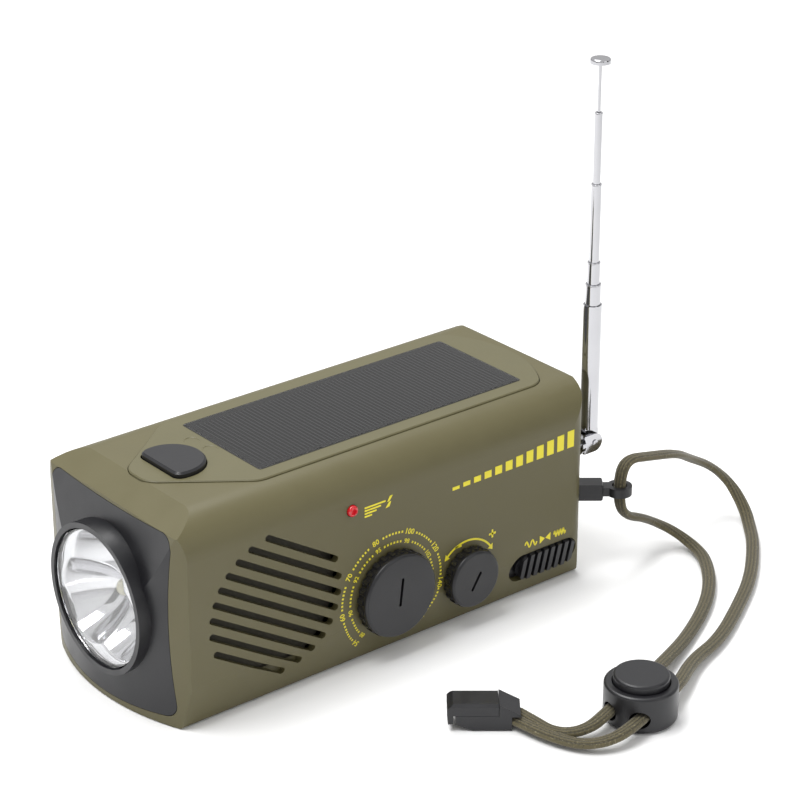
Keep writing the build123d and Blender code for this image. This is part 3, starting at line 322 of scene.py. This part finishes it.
# %% [markdown]
# ## How a finish is made
# A moulded or printed surface is never one flat colour. Each finish here mixes two close shades by a slow
# noise, varies its roughness by the same one, and gets its grain from a fine noise that tilts the surface.
# All of them read the object's own coordinates in metres, so a scale of 1000 gives one ripple per
# millimetre. It could be one material with many switches, but a function keeps each finish on one line, and
# a finish that needs more, such as the panel's lines, adds nodes to what the function returns.

# %% Material helper
def wire(tree, kind, **values):
    """A shader node of one kind, with its sockets or settings filled in by name."""
    node = tree.nodes.new(kind)
    for name, value in values.items():
        if hasattr(node, name):
            setattr(node, name, value)
        else:
            node.inputs[name.replace("_", " ")].default_value = value
    return node


def finish(name, dark, light, rough=(0.4, 0.5), metal=0.0, mottle=120.0, grain=1500.0, bump=0.05,
           coat=0.0, through=0.0):
    """A material whose colour runs between two shades and whose roughness runs between two
    values, both by slow noise, with a fine noise as bump of the given strength."""
    material = bpy.data.materials.new(name)
    material.use_nodes = True
    tree = material.node_tree
    shader = tree.nodes["Principled BSDF"]
    place = wire(tree, "ShaderNodeTexCoord").outputs["Object"]
    slow = wire(tree, "ShaderNodeTexNoise", Scale=mottle, Detail=3.0)
    fine = wire(tree, "ShaderNodeTexNoise", Scale=grain, Detail=2.0)
    shade = wire(tree, "ShaderNodeMix", data_type="RGBA")
    shade.inputs[6].default_value = (*dark, 1)
    shade.inputs[7].default_value = (*light, 1)
    spread = wire(tree, "ShaderNodeMapRange")
    spread.inputs["From Min"].default_value, spread.inputs["From Max"].default_value = 0.35, 0.65
    spread.inputs["To Min"].default_value, spread.inputs["To Max"].default_value = rough
    lift = wire(tree, "ShaderNodeBump", Strength=bump, Distance=0.0001)
    tree.links.new(place, slow.inputs["Vector"])
    tree.links.new(place, fine.inputs["Vector"])
    tree.links.new(slow.outputs[0], shade.inputs["Factor"])
    tree.links.new(slow.outputs[0], spread.inputs["Value"])
    tree.links.new(fine.outputs[0], lift.inputs["Height"])
    tree.links.new(shade.outputs[2], shader.inputs["Base Color"])
    tree.links.new(spread.outputs[0], shader.inputs["Roughness"])
    tree.links.new(lift.outputs[0], shader.inputs["Normal"])
    shader.inputs["Metallic"].default_value = metal
    shader.inputs["Coat Weight"].default_value = coat
    shader.inputs["Transmission Weight"].default_value = through
    return material


# %% [markdown]
# ## The plain finishes
# The casing is olive ABS with a fine spark-eroded grain, which scatters the light into a broad soft sheen.
# The deck is the same plastic, a little paler. Knobs, bezel and clip are black ABS with a satin
# polish. Chrome, steel, copper, ferrite and paper differ mostly in metal and roughness.

# %% Finishes of the pieces
finishes = {
    "olive_casing": finish("olive_casing", (0.098, 0.086, 0.035), (0.110, 0.097, 0.041), (0.42, 0.50),
                           grain=4200.0, bump=0.10),
    "olive_deck": finish("olive_deck", (0.104, 0.094, 0.042), (0.117, 0.106, 0.049), (0.40, 0.48),
                         grain=4200.0, bump=0.10),
    "black_satin": finish("black_satin", (0.008, 0.008, 0.010), (0.012, 0.012, 0.014), (0.30, 0.40),
                          grain=3600.0, bump=0.08),
    "black_rubber": finish("black_rubber", (0.018, 0.018, 0.018), (0.028, 0.027, 0.026), (0.62, 0.78),
                           grain=2600.0, bump=0.20),
    "clear_window": finish("clear_window", (0.97, 0.98, 0.98), (1.0, 1.0, 1.0), (0.02, 0.05),
                           grain=300.0, bump=0.01, through=1.0),
    "mirror_coat": finish("mirror_coat", (0.58, 0.58, 0.60), (0.66, 0.66, 0.68), (0.05, 0.10), 1.0,
                          grain=900.0, bump=0.02),
    "led_dome": finish("led_dome", (0.86, 0.80, 0.50), (0.95, 0.92, 0.70), (0.10, 0.16), coat=0.5,
                       bump=0.02),
    "red_lens": finish("red_lens", (0.52, 0.004, 0.010), (0.62, 0.008, 0.016), (0.10, 0.16), coat=0.6,
                       bump=0.02),
    "green_board": finish("green_board", (0.012, 0.090, 0.030), (0.020, 0.125, 0.045), (0.30, 0.40),
                          mottle=500.0, coat=0.3),
    "switch_plastic": finish("switch_plastic", (0.030, 0.030, 0.032), (0.042, 0.042, 0.045), (0.40, 0.50)),
    "chrome": finish("chrome", (0.48, 0.48, 0.50), (0.56, 0.56, 0.58), (0.07, 0.13), 1.0,
                     mottle=90.0, grain=1200.0, bump=0.015),
    "steel": finish("steel", (0.42, 0.42, 0.43), (0.55, 0.55, 0.56), (0.25, 0.38), 1.0, mottle=400.0),
    "gear_plastic": finish("gear_plastic", (0.70, 0.68, 0.62), (0.78, 0.76, 0.70), (0.35, 0.45)),
    "grille_cloth": finish("grille_cloth", (0.085, 0.080, 0.060), (0.130, 0.122, 0.092), (0.75, 0.9),
                           mottle=1500.0, grain=2500.0, bump=0.5),
    "paper_cone": finish("paper_cone", (0.035, 0.032, 0.028), (0.060, 0.055, 0.048), (0.75, 0.9),
                         mottle=900.0, bump=0.4),
    "ferrite": finish("ferrite", (0.030, 0.029, 0.030), (0.050, 0.048, 0.050), (0.5, 0.65), bump=0.2),
    "copper_coil": finish("copper_coil", (0.42, 0.14, 0.05), (0.56, 0.22, 0.09), (0.25, 0.38), 0.9,
                          mottle=900.0, bump=0.3),
    "cell_wrap": finish("cell_wrap", (0.03, 0.14, 0.055), (0.04, 0.18, 0.07), (0.28, 0.36), coat=0.2),
}

# %% [markdown]
# ## The solar panel
# The panel is one glass plate over amorphous cells. Fine pale conductors cross it every 1.35 mm, and
# a dark margin is left round the cells. Lines could be modelled, but they have no height that shows, so
# they are drawn in the material: the place along the body, taken modulo the pitch, is compared with the
# width of a line, and the margin is where either place is near the edge of the plate.

# %% Solar cells
cell_low, cell_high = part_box("solar_cells")
cell_pitch, cell_line, cell_margin = 0.00135, 0.00016, 0.0022
solar = finish("solar_cells", (0.020, 0.021, 0.028), (0.034, 0.034, 0.042), (0.16, 0.22),
               mottle=60.0, grain=700.0, bump=0.01)


def panel_lines(material):
    """Adds pale lines across the panel and its plain margin to the colour of a finish."""
    tree = material.node_tree
    shader = tree.nodes["Principled BSDF"]
    under = shader.inputs["Base Color"].links[0].from_socket
    parts = wire(tree, "ShaderNodeSeparateXYZ")
    tree.links.new(wire(tree, "ShaderNodeTexCoord").outputs["Object"], parts.inputs[0])

    def work(operation, first, second=0.0):
        node = wire(tree, "ShaderNodeMath", operation=operation)
        for socket, value in zip(node.inputs, (first, second)):
            if isinstance(value, float):
                socket.default_value = value
            else:
                tree.links.new(value, socket)
        return node.outputs[0]

    along, across = parts.outputs["X"], parts.outputs["Y"]
    saw = work("FRACT", work("DIVIDE", work("ADD", along, 1.0), cell_pitch))
    line = work("LESS_THAN", saw, cell_line / cell_pitch)
    middle = float(cell_low[0] + cell_high[0]) / 2
    half = float(cell_high[0] - cell_low[0]) / 2
    inside_x = work("LESS_THAN", work("ABSOLUTE", work("SUBTRACT", along, middle)), half - cell_margin)
    half_y = float(cell_high[1] - cell_low[1]) / 2
    inside_y = work("LESS_THAN", work("ABSOLUTE", across), half_y - cell_margin)
    inside = work("MULTIPLY", inside_x, inside_y)
    for factor, colour in ((work("MULTIPLY", line, inside), (0.36, 0.36, 0.37, 1)),
                           (work("SUBTRACT", 1.0, inside), (0.008, 0.008, 0.010, 1))):
        layer = wire(tree, "ShaderNodeMix", data_type="RGBA")
        tree.links.new(factor, layer.inputs["Factor"])
        tree.links.new(under, layer.inputs[6])
        layer.inputs[7].default_value = colour
        under = layer.outputs[2]
    tree.links.new(under, shader.inputs["Base Color"])
    return material


finishes["solar_cells"] = panel_lines(solar)
print("conductors across the panel:", int((cell_high[0] - cell_low[0]) / cell_pitch))

# %% [markdown]
# ## The cord's yarn
# The braid's colour follows its own surface, so it reads the attributes stored on the mesh. Yarn on top
# of a rib is a washed olive-brown, the grooves between are painted dark as shade, and slanted flecks come
# from a noise stretched along the strands.

# %% Braid finish
def braid_finish():
    """Olive yarn with painted shade in the grooves and with flecks, read from the leg's own attributes."""
    material = finish("olive_cord", (0.060, 0.050, 0.022), (0.125, 0.105, 0.050), (0.78, 0.92),
                      mottle=1400.0, grain=3000.0, bump=0.6)
    tree = material.node_tree
    shader = tree.nodes["Principled BSDF"]
    under = shader.inputs["Base Color"].links[0].from_socket
    height = wire(tree, "ShaderNodeAttribute", attribute_name="braid_height")
    along = wire(tree, "ShaderNodeAttribute", attribute_name="braid_along")
    turn = wire(tree, "ShaderNodeAttribute", attribute_name="braid_round")
    spot = wire(tree, "ShaderNodeCombineXYZ")
    fleck = wire(tree, "ShaderNodeTexNoise", Scale=3.0, Detail=2.0)
    tree.links.new(along.outputs["Fac"], spot.inputs[0])
    tree.links.new(turn.outputs["Fac"], spot.inputs[1])
    tree.links.new(spot.outputs[0], fleck.inputs["Vector"])
    # The first layer is painted shade: the lower the braid's height, the nearer the colour comes to near
    # black, as if shade fell in the grooves. The other two layers are dark and pale flecks of the yarn.
    for source, low, high, colour in ((height.outputs["Fac"], 0.35, -0.75, (0.018, 0.015, 0.008, 1)),
                                      (fleck.outputs[0], 0.60, 0.72, (0.020, 0.017, 0.010, 1)),
                                      (fleck.outputs[0], 0.40, 0.28, (0.210, 0.185, 0.110, 1))):
        amount = wire(tree, "ShaderNodeMapRange")
        amount.inputs["From Min"].default_value, amount.inputs["From Max"].default_value = low, high
        tree.links.new(source, amount.inputs["Value"])
        layer = wire(tree, "ShaderNodeMix", data_type="RGBA")
        tree.links.new(amount.outputs[0], layer.inputs["Factor"])
        tree.links.new(under, layer.inputs[6])
        layer.inputs[7].default_value = colour
        under = layer.outputs[2]
    tree.links.new(under, shader.inputs["Base Color"])
    shader.inputs["Sheen Weight"].default_value = 0.25
    return material


finishes["olive_cord"] = braid_finish()
for leg in (outer_leg, inner_leg):
    leg.data.materials.append(finishes["olive_cord"])

# %% [markdown]
# Each piece that came from CAD names the finish that it takes, so one loop paints them all.

# %% Paint the CAD pieces
for part in frame["record"]["subparts"]:
    piece = nodes[part["node"]]
    for holder in piece.material_slots:
        holder.material = finishes[part["material_slot"]]

# %% [markdown]
# ## The lamp's mirror
# A vacuum-plated cup throws the light of three small LEDs forwards. It isn't one bowl: each LED sits at the
# bottom of its own paraboloid, and where two of them meet they leave a sharp ridge. That could be carved
# with booleans, but one rule gives it all: at each point the depth belongs to the nearest LED, and grows
# with the square of the distance from it, up to the rim.

# %% Three-cup mirror
mirror_low, mirror_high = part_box("lamp_reflector")
mirror_centre = (float(mirror_low[2]) + float(mirror_high[2])) / 2
mirror_rim = (float(mirror_high[1]) - float(mirror_low[1])) / 2 - 0.0006
mirror_depth = float(mirror_high[0] - mirror_low[0]) - 0.0014
mirror_floor = float(mirror_high[0]) - 0.0012
mirror_wall, cup_steepness = 0.0008, 88.0
led_circle = 0.0076
led_angles = np.radians([90.0, 210.0, 330.0])


def three_cup_mirror(name):
    """Over a polar grid of radius and angle, the height in front of the floor is the cups' steepness
    times the squared distance to the nearest of three LEDs, never more than the depth of the mirror,
    and the rear skin lies a wall behind the front one."""
    radius = np.linspace(0.0, mirror_rim, 56)[:, None]
    angle = np.linspace(0.0, 2 * np.pi, 144, endpoint=False)[None, :]
    y, z = radius * np.cos(angle), radius * np.sin(angle)
    distance = np.min([np.hypot(y - led_circle * np.cos(led), z - led_circle * np.sin(led))
                       for led in led_angles], 0)
    front = mirror_floor - np.minimum(cup_steepness * distance ** 2, mirror_depth)
    skins = [np.stack([x, y, mirror_centre + z], -1) for x in (front, front + mirror_wall)]
    rows, count = front.shape
    faces = np.vstack([grid_quads(rows, count, wrap_columns=True),
                       grid_quads(rows, count, wrap_columns=True)[:, ::-1] + rows * count])
    rim = (rows - 1) * count + np.arange(count)
    after = (rows - 1) * count + (np.arange(count) + 1) % count
    edge = np.stack([rim, after, after + rows * count, rim + rows * count], 1)
    piece = mesh_piece(name, np.vstack([s.reshape(-1, 3) for s in skins]), np.vstack([faces, edge]))
    return point_outwards(piece)


mirror = three_cup_mirror("mirror_cups")
mirror.data.materials.append(finishes["mirror_coat"])
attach(mirror, "casing")
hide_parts("lamp_reflector")
print("mirror radius", round(mirror_rim * 1000, 1), "mm")

# %% [markdown]
# ## The printing on the side
# The dial, the volume scale and the small marks are pad-printed in yellow ink, a film much thinner
# than a hair. Ink could be drawn in the casing's material, but marks of their own stay sharp at any
# distance. Each mark is a flat shape in the plane of the side, given a few hundredths of a millimetre of
# thickness and laid on the casing, which turns inwards a little below the crease.

# %% Where the side's skin is
side_y, crease_z, base_inset = 0.0334, 0.0130, 0.0030
ink_lift, ink_root = 0.00005, 0.00006


def on_the_side(flat, rise):
    """Flat points (along, up) laid on the side: y is minus the half width, less the inset of the part
    below the crease, and rise lifts the point off the skin."""
    below = np.clip((crease_z - flat[:, 1]) / crease_z, 0.0, 1.0)
    return np.stack([flat[:, 0], -(side_y - base_inset * below + rise), flat[:, 1]], 1)


ink_points, ink_faces = [], []


def ink_outline(flat):
    """A mark with a convex outline: two copies of the outline, one under the skin and one above it, and
    a band of quads between them."""
    flat = np.asarray(flat, float)
    count, start = len(flat), sum(len(p) for p in ink_points)
    ink_points.extend([on_the_side(flat, ink_lift), on_the_side(flat, -ink_root)])
    ring = np.arange(count)
    after = (ring + 1) % count
    ink_faces.append((start + ring).tolist())
    ink_faces.append((start + count + ring[::-1]).tolist())
    ink_faces.extend((start + np.stack([ring, ring + count, after + count, after], 1)).tolist())


def ink_figures(words, size, centre, lean=0.0):
    """Figures from the plain built-in face, made a mesh, turned by the lean and laid on the side."""
    data = bpy.data.curves.new("figures", "FONT")
    data.body, data.size, data.extrude = words, size, ink_lift
    data.align_x, data.align_y, data.resolution_u = "CENTER", "CENTER", 2
    data.offset = 0.012 * size
    holder = bpy.data.objects.new("figures", data)
    bpy.context.scene.collection.objects.link(holder)
    bpy.context.view_layer.update()
    mesh = bpy.data.meshes.new_from_object(holder)
    points = np.zeros(len(mesh.vertices) * 3)
    mesh.vertices.foreach_get("co", points)
    points = points.reshape(-1, 3)
    c, s = np.cos(lean), np.sin(lean)
    flat = points[:, :2] @ np.array([[c, s], [-s, c]]) + np.asarray(centre)
    start = sum(len(p) for p in ink_points)
    ink_points.append(on_the_side(flat, points[:, 2]))
    ink_faces.extend([[start + v for v in face.vertices] for face in mesh.polygons])
    bpy.data.objects.remove(holder)
    bpy.data.meshes.remove(mesh)
    bpy.data.curves.remove(data)


def bar(start, end, width):
    """The four corners of a straight bar."""
    start, end = np.asarray(start, float), np.asarray(end, float)
    across = np.array([-(end - start)[1], (end - start)[0]]) / np.hypot(*(end - start)) * width / 2
    return [start + across, start - across, end - across, end + across]


def around(centre, radius, angle):
    """The point at an angle on a circle, in the plane of the side."""
    return np.asarray(centre) + radius * np.array([np.cos(angle), np.sin(angle)])


# %% [markdown]
# The tuning dial has two rings of dots with figures between them, running clockwise from lower left to
# lower right. The figures are the usual ones of the two wave bands.

# %% Tuning dial
tune_centre = (0.0019, 0.0198)
dial_from, dial_to = math.radians(228.0), math.radians(-50.0)
dot_pitch, dot_length, dot_width = 0.00112, 0.00064, 0.00056
rings = ((0.0179, 0.0024, ["54", "60", "70", "80", "100", "120", "140", "160"]),
         (0.0150, 0.0020, ["88", "90", "92", "95", "98", "102", "105", "108"]))
for radius, height, figures in rings:
    places = np.linspace(dial_from, dial_to, len(figures))
    for words, angle in zip(figures, places):
        ink_figures(words, height, around(tune_centre, radius, angle), angle - math.pi / 2)
    spots = np.linspace(dial_from, dial_to, int((dial_from - dial_to) * radius / dot_pitch))
    clear = np.min(np.abs(spots[:, None] - places[None, :]), 1) * radius
    for angle in spots[clear > 0.0017 * height / 0.0024 + 0.0004]:
        inner_end = around(tune_centre, radius - dot_length / 2, angle)
        ink_outline(bar(inner_end, around(tune_centre, radius + dot_length / 2, angle), dot_width))
print("dial marks:", len(ink_points))

# %% [markdown]
# Round the volume knob runs a thin arc with an arrow at each end, between a minus and a plus. Above the
# band switch two arrows point at each other between two wave marks, beside the indicator stand two
# small bars of a charge mark, and on the free area near the tail there is a plain row of signal bars.

# %% Volume scale and small marks
volume_centre, arc_radius = (0.0297, 0.0156), 0.0109
arc_half, arrow_half, mark_width = 0.0003, 0.0011, 0.0006
arc_angles = np.radians(np.linspace(132.0, 36.0, 40))
for first, second in zip(arc_angles[:-1], arc_angles[1:]):
    ink_outline([around(volume_centre, arc_radius - arc_half, first),
                 around(volume_centre, arc_radius + arc_half, first),
                 around(volume_centre, arc_radius + arc_half, second),
                 around(volume_centre, arc_radius - arc_half, second)])
for angle, turn in ((arc_angles[0], 0.15), (arc_angles[-1], -0.15)):
    ink_outline([around(volume_centre, arc_radius - arrow_half, angle),
                 around(volume_centre, arc_radius + arrow_half, angle),
                 around(volume_centre, arc_radius, angle + turn)])
ink_outline(bar((0.0252, 0.0256), (0.0276, 0.0256), mark_width))
ink_outline(bar((0.0380, 0.0257), (0.0406, 0.0257), mark_width))
ink_outline(bar((0.0393, 0.0244), (0.0393, 0.0270), mark_width))
ink_outline([(0.0580, 0.0161), (0.0580, 0.0187), (0.0600, 0.0174)])
ink_outline([(0.0622, 0.0187), (0.0622, 0.0161), (0.0602, 0.0174)])
wave_long, wave_level, wave_high, thin_mark = 0.0046, 0.0174, 0.0010, 0.0005
for left, waves in ((0.0522, 2), (0.0636, 4)):
    wave_x = np.linspace(left, left + wave_long, 40)
    wave_z = wave_level + wave_high * np.sin((wave_x - left) / wave_long * 2 * np.pi * waves)
    wave = np.stack([wave_x, wave_z], 1)
    for start, end in zip(wave[:-1], wave[1:]):
        ink_outline(bar(start, end, thin_mark))
for k in range(4):
    level = 0.0462 + 0.0009 * k
    ink_outline(bar((-0.0078, level), (-0.0052 + 0.0016 * k, level), thin_mark))
ink_outline([(0.0010, 0.0468), (0.0016, 0.0482), (0.0008, 0.0482), (-0.0004, 0.0466)])
ink_outline([(0.0012, 0.0500), (0.0002, 0.0484), (0.0010, 0.0484), (0.0022, 0.0500)])
signal_foot, signal_width = 0.0443, 0.0026
for k in range(12):
    left, top = 0.0240 + 0.0040 * k, signal_foot + 0.0010 + 0.0004 * k
    right = left + signal_width
    ink_outline([(left, signal_foot), (right, signal_foot), (right, top), (left, top)])

printing = point_outwards(mesh_piece("side_printing", np.vstack(ink_points), ink_faces, smooth=False))
yellow_ink = finish("yellow_ink", (0.78, 0.66, 0.020), (0.84, 0.73, 0.040), (0.40, 0.52), mottle=600.0)
printing.data.materials.append(yellow_ink)
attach(printing, "casing")
print("printed marks:", len(ink_points), "faces:", len(printing.data.polygons))

# %% [markdown]
# ## Panel gasket and deck marks
# A thin black gasket shows between the glass and the deck, and two small lamp symbols are embossed in the
# deck behind the lamp's button. Both are low ridges: a half-round profile carried along a line.

# %% Low ridges
ridge_sides = 12


def ridge(name, line, radius, closed):
    """A round bead along a line in a level plane: radius times cosine goes sideways in the plane and
    radius times sine goes up. An open line tapers to a point at both ends."""
    line = np.asarray(line, float)
    ahead = (np.roll(line, -1, 0) - np.roll(line, 1, 0)) if closed else np.gradient(line, axis=0)
    ahead /= np.linalg.norm(ahead, axis=1)[:, None]
    side = np.cross(ahead, [0.0, 0.0, 1.0])
    angle = np.linspace(0.0, 2 * np.pi, ridge_sides, endpoint=False)
    size = np.full(len(line), radius)
    if not closed:
        size = radius * np.sqrt(np.clip(np.sin(np.linspace(0.02, np.pi - 0.02, len(line))), 0.0, 1.0))
    points = (line[:, None, :] + side[:, None, :] * (size[:, None] * np.cos(angle))[:, :, None]
              + np.array([0.0, 0.0, 1.0]) * (size[:, None] * np.sin(angle))[:, :, None])
    faces = grid_quads(len(line), ridge_sides, wrap_rows=closed, wrap_columns=True).tolist()
    if not closed:
        faces.append(list(range(ridge_sides)))
        faces.append(list(range((len(line) - 1) * ridge_sides, len(line) * ridge_sides)))
    return point_outwards(mesh_piece(name, points, faces))


glass_low, glass_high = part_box("solar_window")
gasket_corner, gasket_radius, edge_line = 0.0008, 0.00035, []
corner_turn = np.linspace(0.0, np.pi / 2, 7)
for k, (side_x, side_y_sign) in enumerate(((1, 1), (-1, 1), (-1, -1), (1, -1))):
    corner_x = float((glass_high if side_x > 0 else glass_low)[0]) - side_x * gasket_corner
    corner_y = float((glass_high if side_y_sign > 0 else glass_low)[1]) - side_y_sign * gasket_corner
    turn = corner_turn + k * np.pi / 2
    level = np.full(len(turn), float(glass_high[2]) - gasket_radius)
    edge_line.append(np.stack([corner_x + gasket_corner * np.cos(turn),
                               corner_y + gasket_corner * np.sin(turn), level], 1))
gasket = ridge("panel_gasket", np.vstack(edge_line), gasket_radius, True)
gasket.data.materials.append(finishes["black_rubber"])
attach(gasket, "casing")

deck_high = float(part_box("top_deck")[1][2])
for k, (x, y) in enumerate(((-0.0362, 0.0080), (-0.0352, 0.0004))):
    turn = np.radians(np.linspace(-60.0, 190.0, 30))
    level = np.full(len(turn), deck_high - 0.0002)
    line = np.stack([x + 0.0021 * np.cos(turn), y + 0.0026 * np.sin(turn), level], 1)
    mark = ridge("deck_mark_" + str(k + 1), line, 0.0004, False)
    mark.data.materials.append(finishes["olive_deck"])
    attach(mark, "casing")
print("deck top at", round(deck_high * 1000, 2), "mm")

# %% [markdown]
# ## The aerial's rolled mouths
# Each telescopic tube is rolled in at its mouth, which grips the next tube and catches a bright ring of
# light. A ring could be cut from a torus, but here it is the same bead, carried round the tube's axis and
# riding on the tube, so it moves with it.

# %% Rolled mouths
mast_x, mast_y = 0.0834, -0.0260
mouth_bead, mouth_inset = 0.0003, 0.00022
mouth_turn = np.linspace(0.0, 2 * np.pi, 40, endpoint=False)
for node, body, tube_radius in (("antenna_tube_2", "antenna_2", 0.0023),
                                ("antenna_tube_3", "antenna_3", 0.00188),
                                ("antenna_tube_4", "antenna_4", 0.0015),
                                ("antenna_tube_5", "antenna_5", 0.0011)):
    top = float(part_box(node)[1][2]) - mouth_bead
    reach = tube_radius - mouth_inset
    around_mast = np.stack([mast_x + reach * np.cos(mouth_turn), mast_y + reach * np.sin(mouth_turn),
                            np.full(len(mouth_turn), top)], 1)
    mouth = ridge("rolled_mouth_" + node[-1], around_mast, mouth_bead, True)
    mouth.data.materials.append(finishes["chrome"])
    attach(mouth, body)
    print(node, "mouth at", round(top * 1000, 1), "mm")

# %% [markdown]
# ## The spring in the cord lock
# A coil spring under the lock's button keeps it pressed on the cord. A stiff copy of it would be cut by the
# button on its way down. This one is also stiff: a round wire carried along a helix, riding on the casing,
# that keeps the same length when the button goes in.

# %% Lock spring
spring_low, spring_high = [np.array(corner, float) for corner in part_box("cord_lock_spring")]
spring_wire, spring_turns, wire_sides = 0.0005, 2, 10


def coil_spring(name):
    """A round wire along a helix: the line is the spring's radius times the cosine and sine of the turn,
    rising evenly, and the section lies along the outward direction and straight up."""
    middle = (spring_low + spring_high) / 2
    reach = (spring_high[0] - spring_low[0]) / 2 - spring_wire / 2
    turn = np.linspace(0.0, 2 * np.pi * spring_turns, 40 * spring_turns + 1)
    outward = np.stack([np.cos(turn), np.sin(turn), np.zeros_like(turn)], 1)
    rise = np.linspace(spring_low[2] + spring_wire / 2, spring_high[2] - spring_wire / 2, len(turn))
    line = np.stack([middle[0] + reach * outward[:, 0], middle[1] + reach * outward[:, 1], rise], 1)
    angle = np.linspace(0.0, 2 * np.pi, wire_sides, endpoint=False)
    points = (line[:, None, :] + outward[:, None, :] * (spring_wire / 2 * np.cos(angle))[None, :, None]
              + np.array([0.0, 0.0, 1.0]) * (spring_wire / 2 * np.sin(angle))[None, :, None])
    faces = grid_quads(len(line), wire_sides, wrap_columns=True).tolist()
    faces.append(list(range(wire_sides)))
    faces.append(list(range((len(line) - 1) * wire_sides, len(line) * wire_sides)))
    return point_outwards(mesh_piece(name, points, faces))


spring = coil_spring("lock_spring_coil")
spring.data.materials.append(finishes["steel"])
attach(spring, "casing")
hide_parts("cord_lock_spring")
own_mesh(spring)
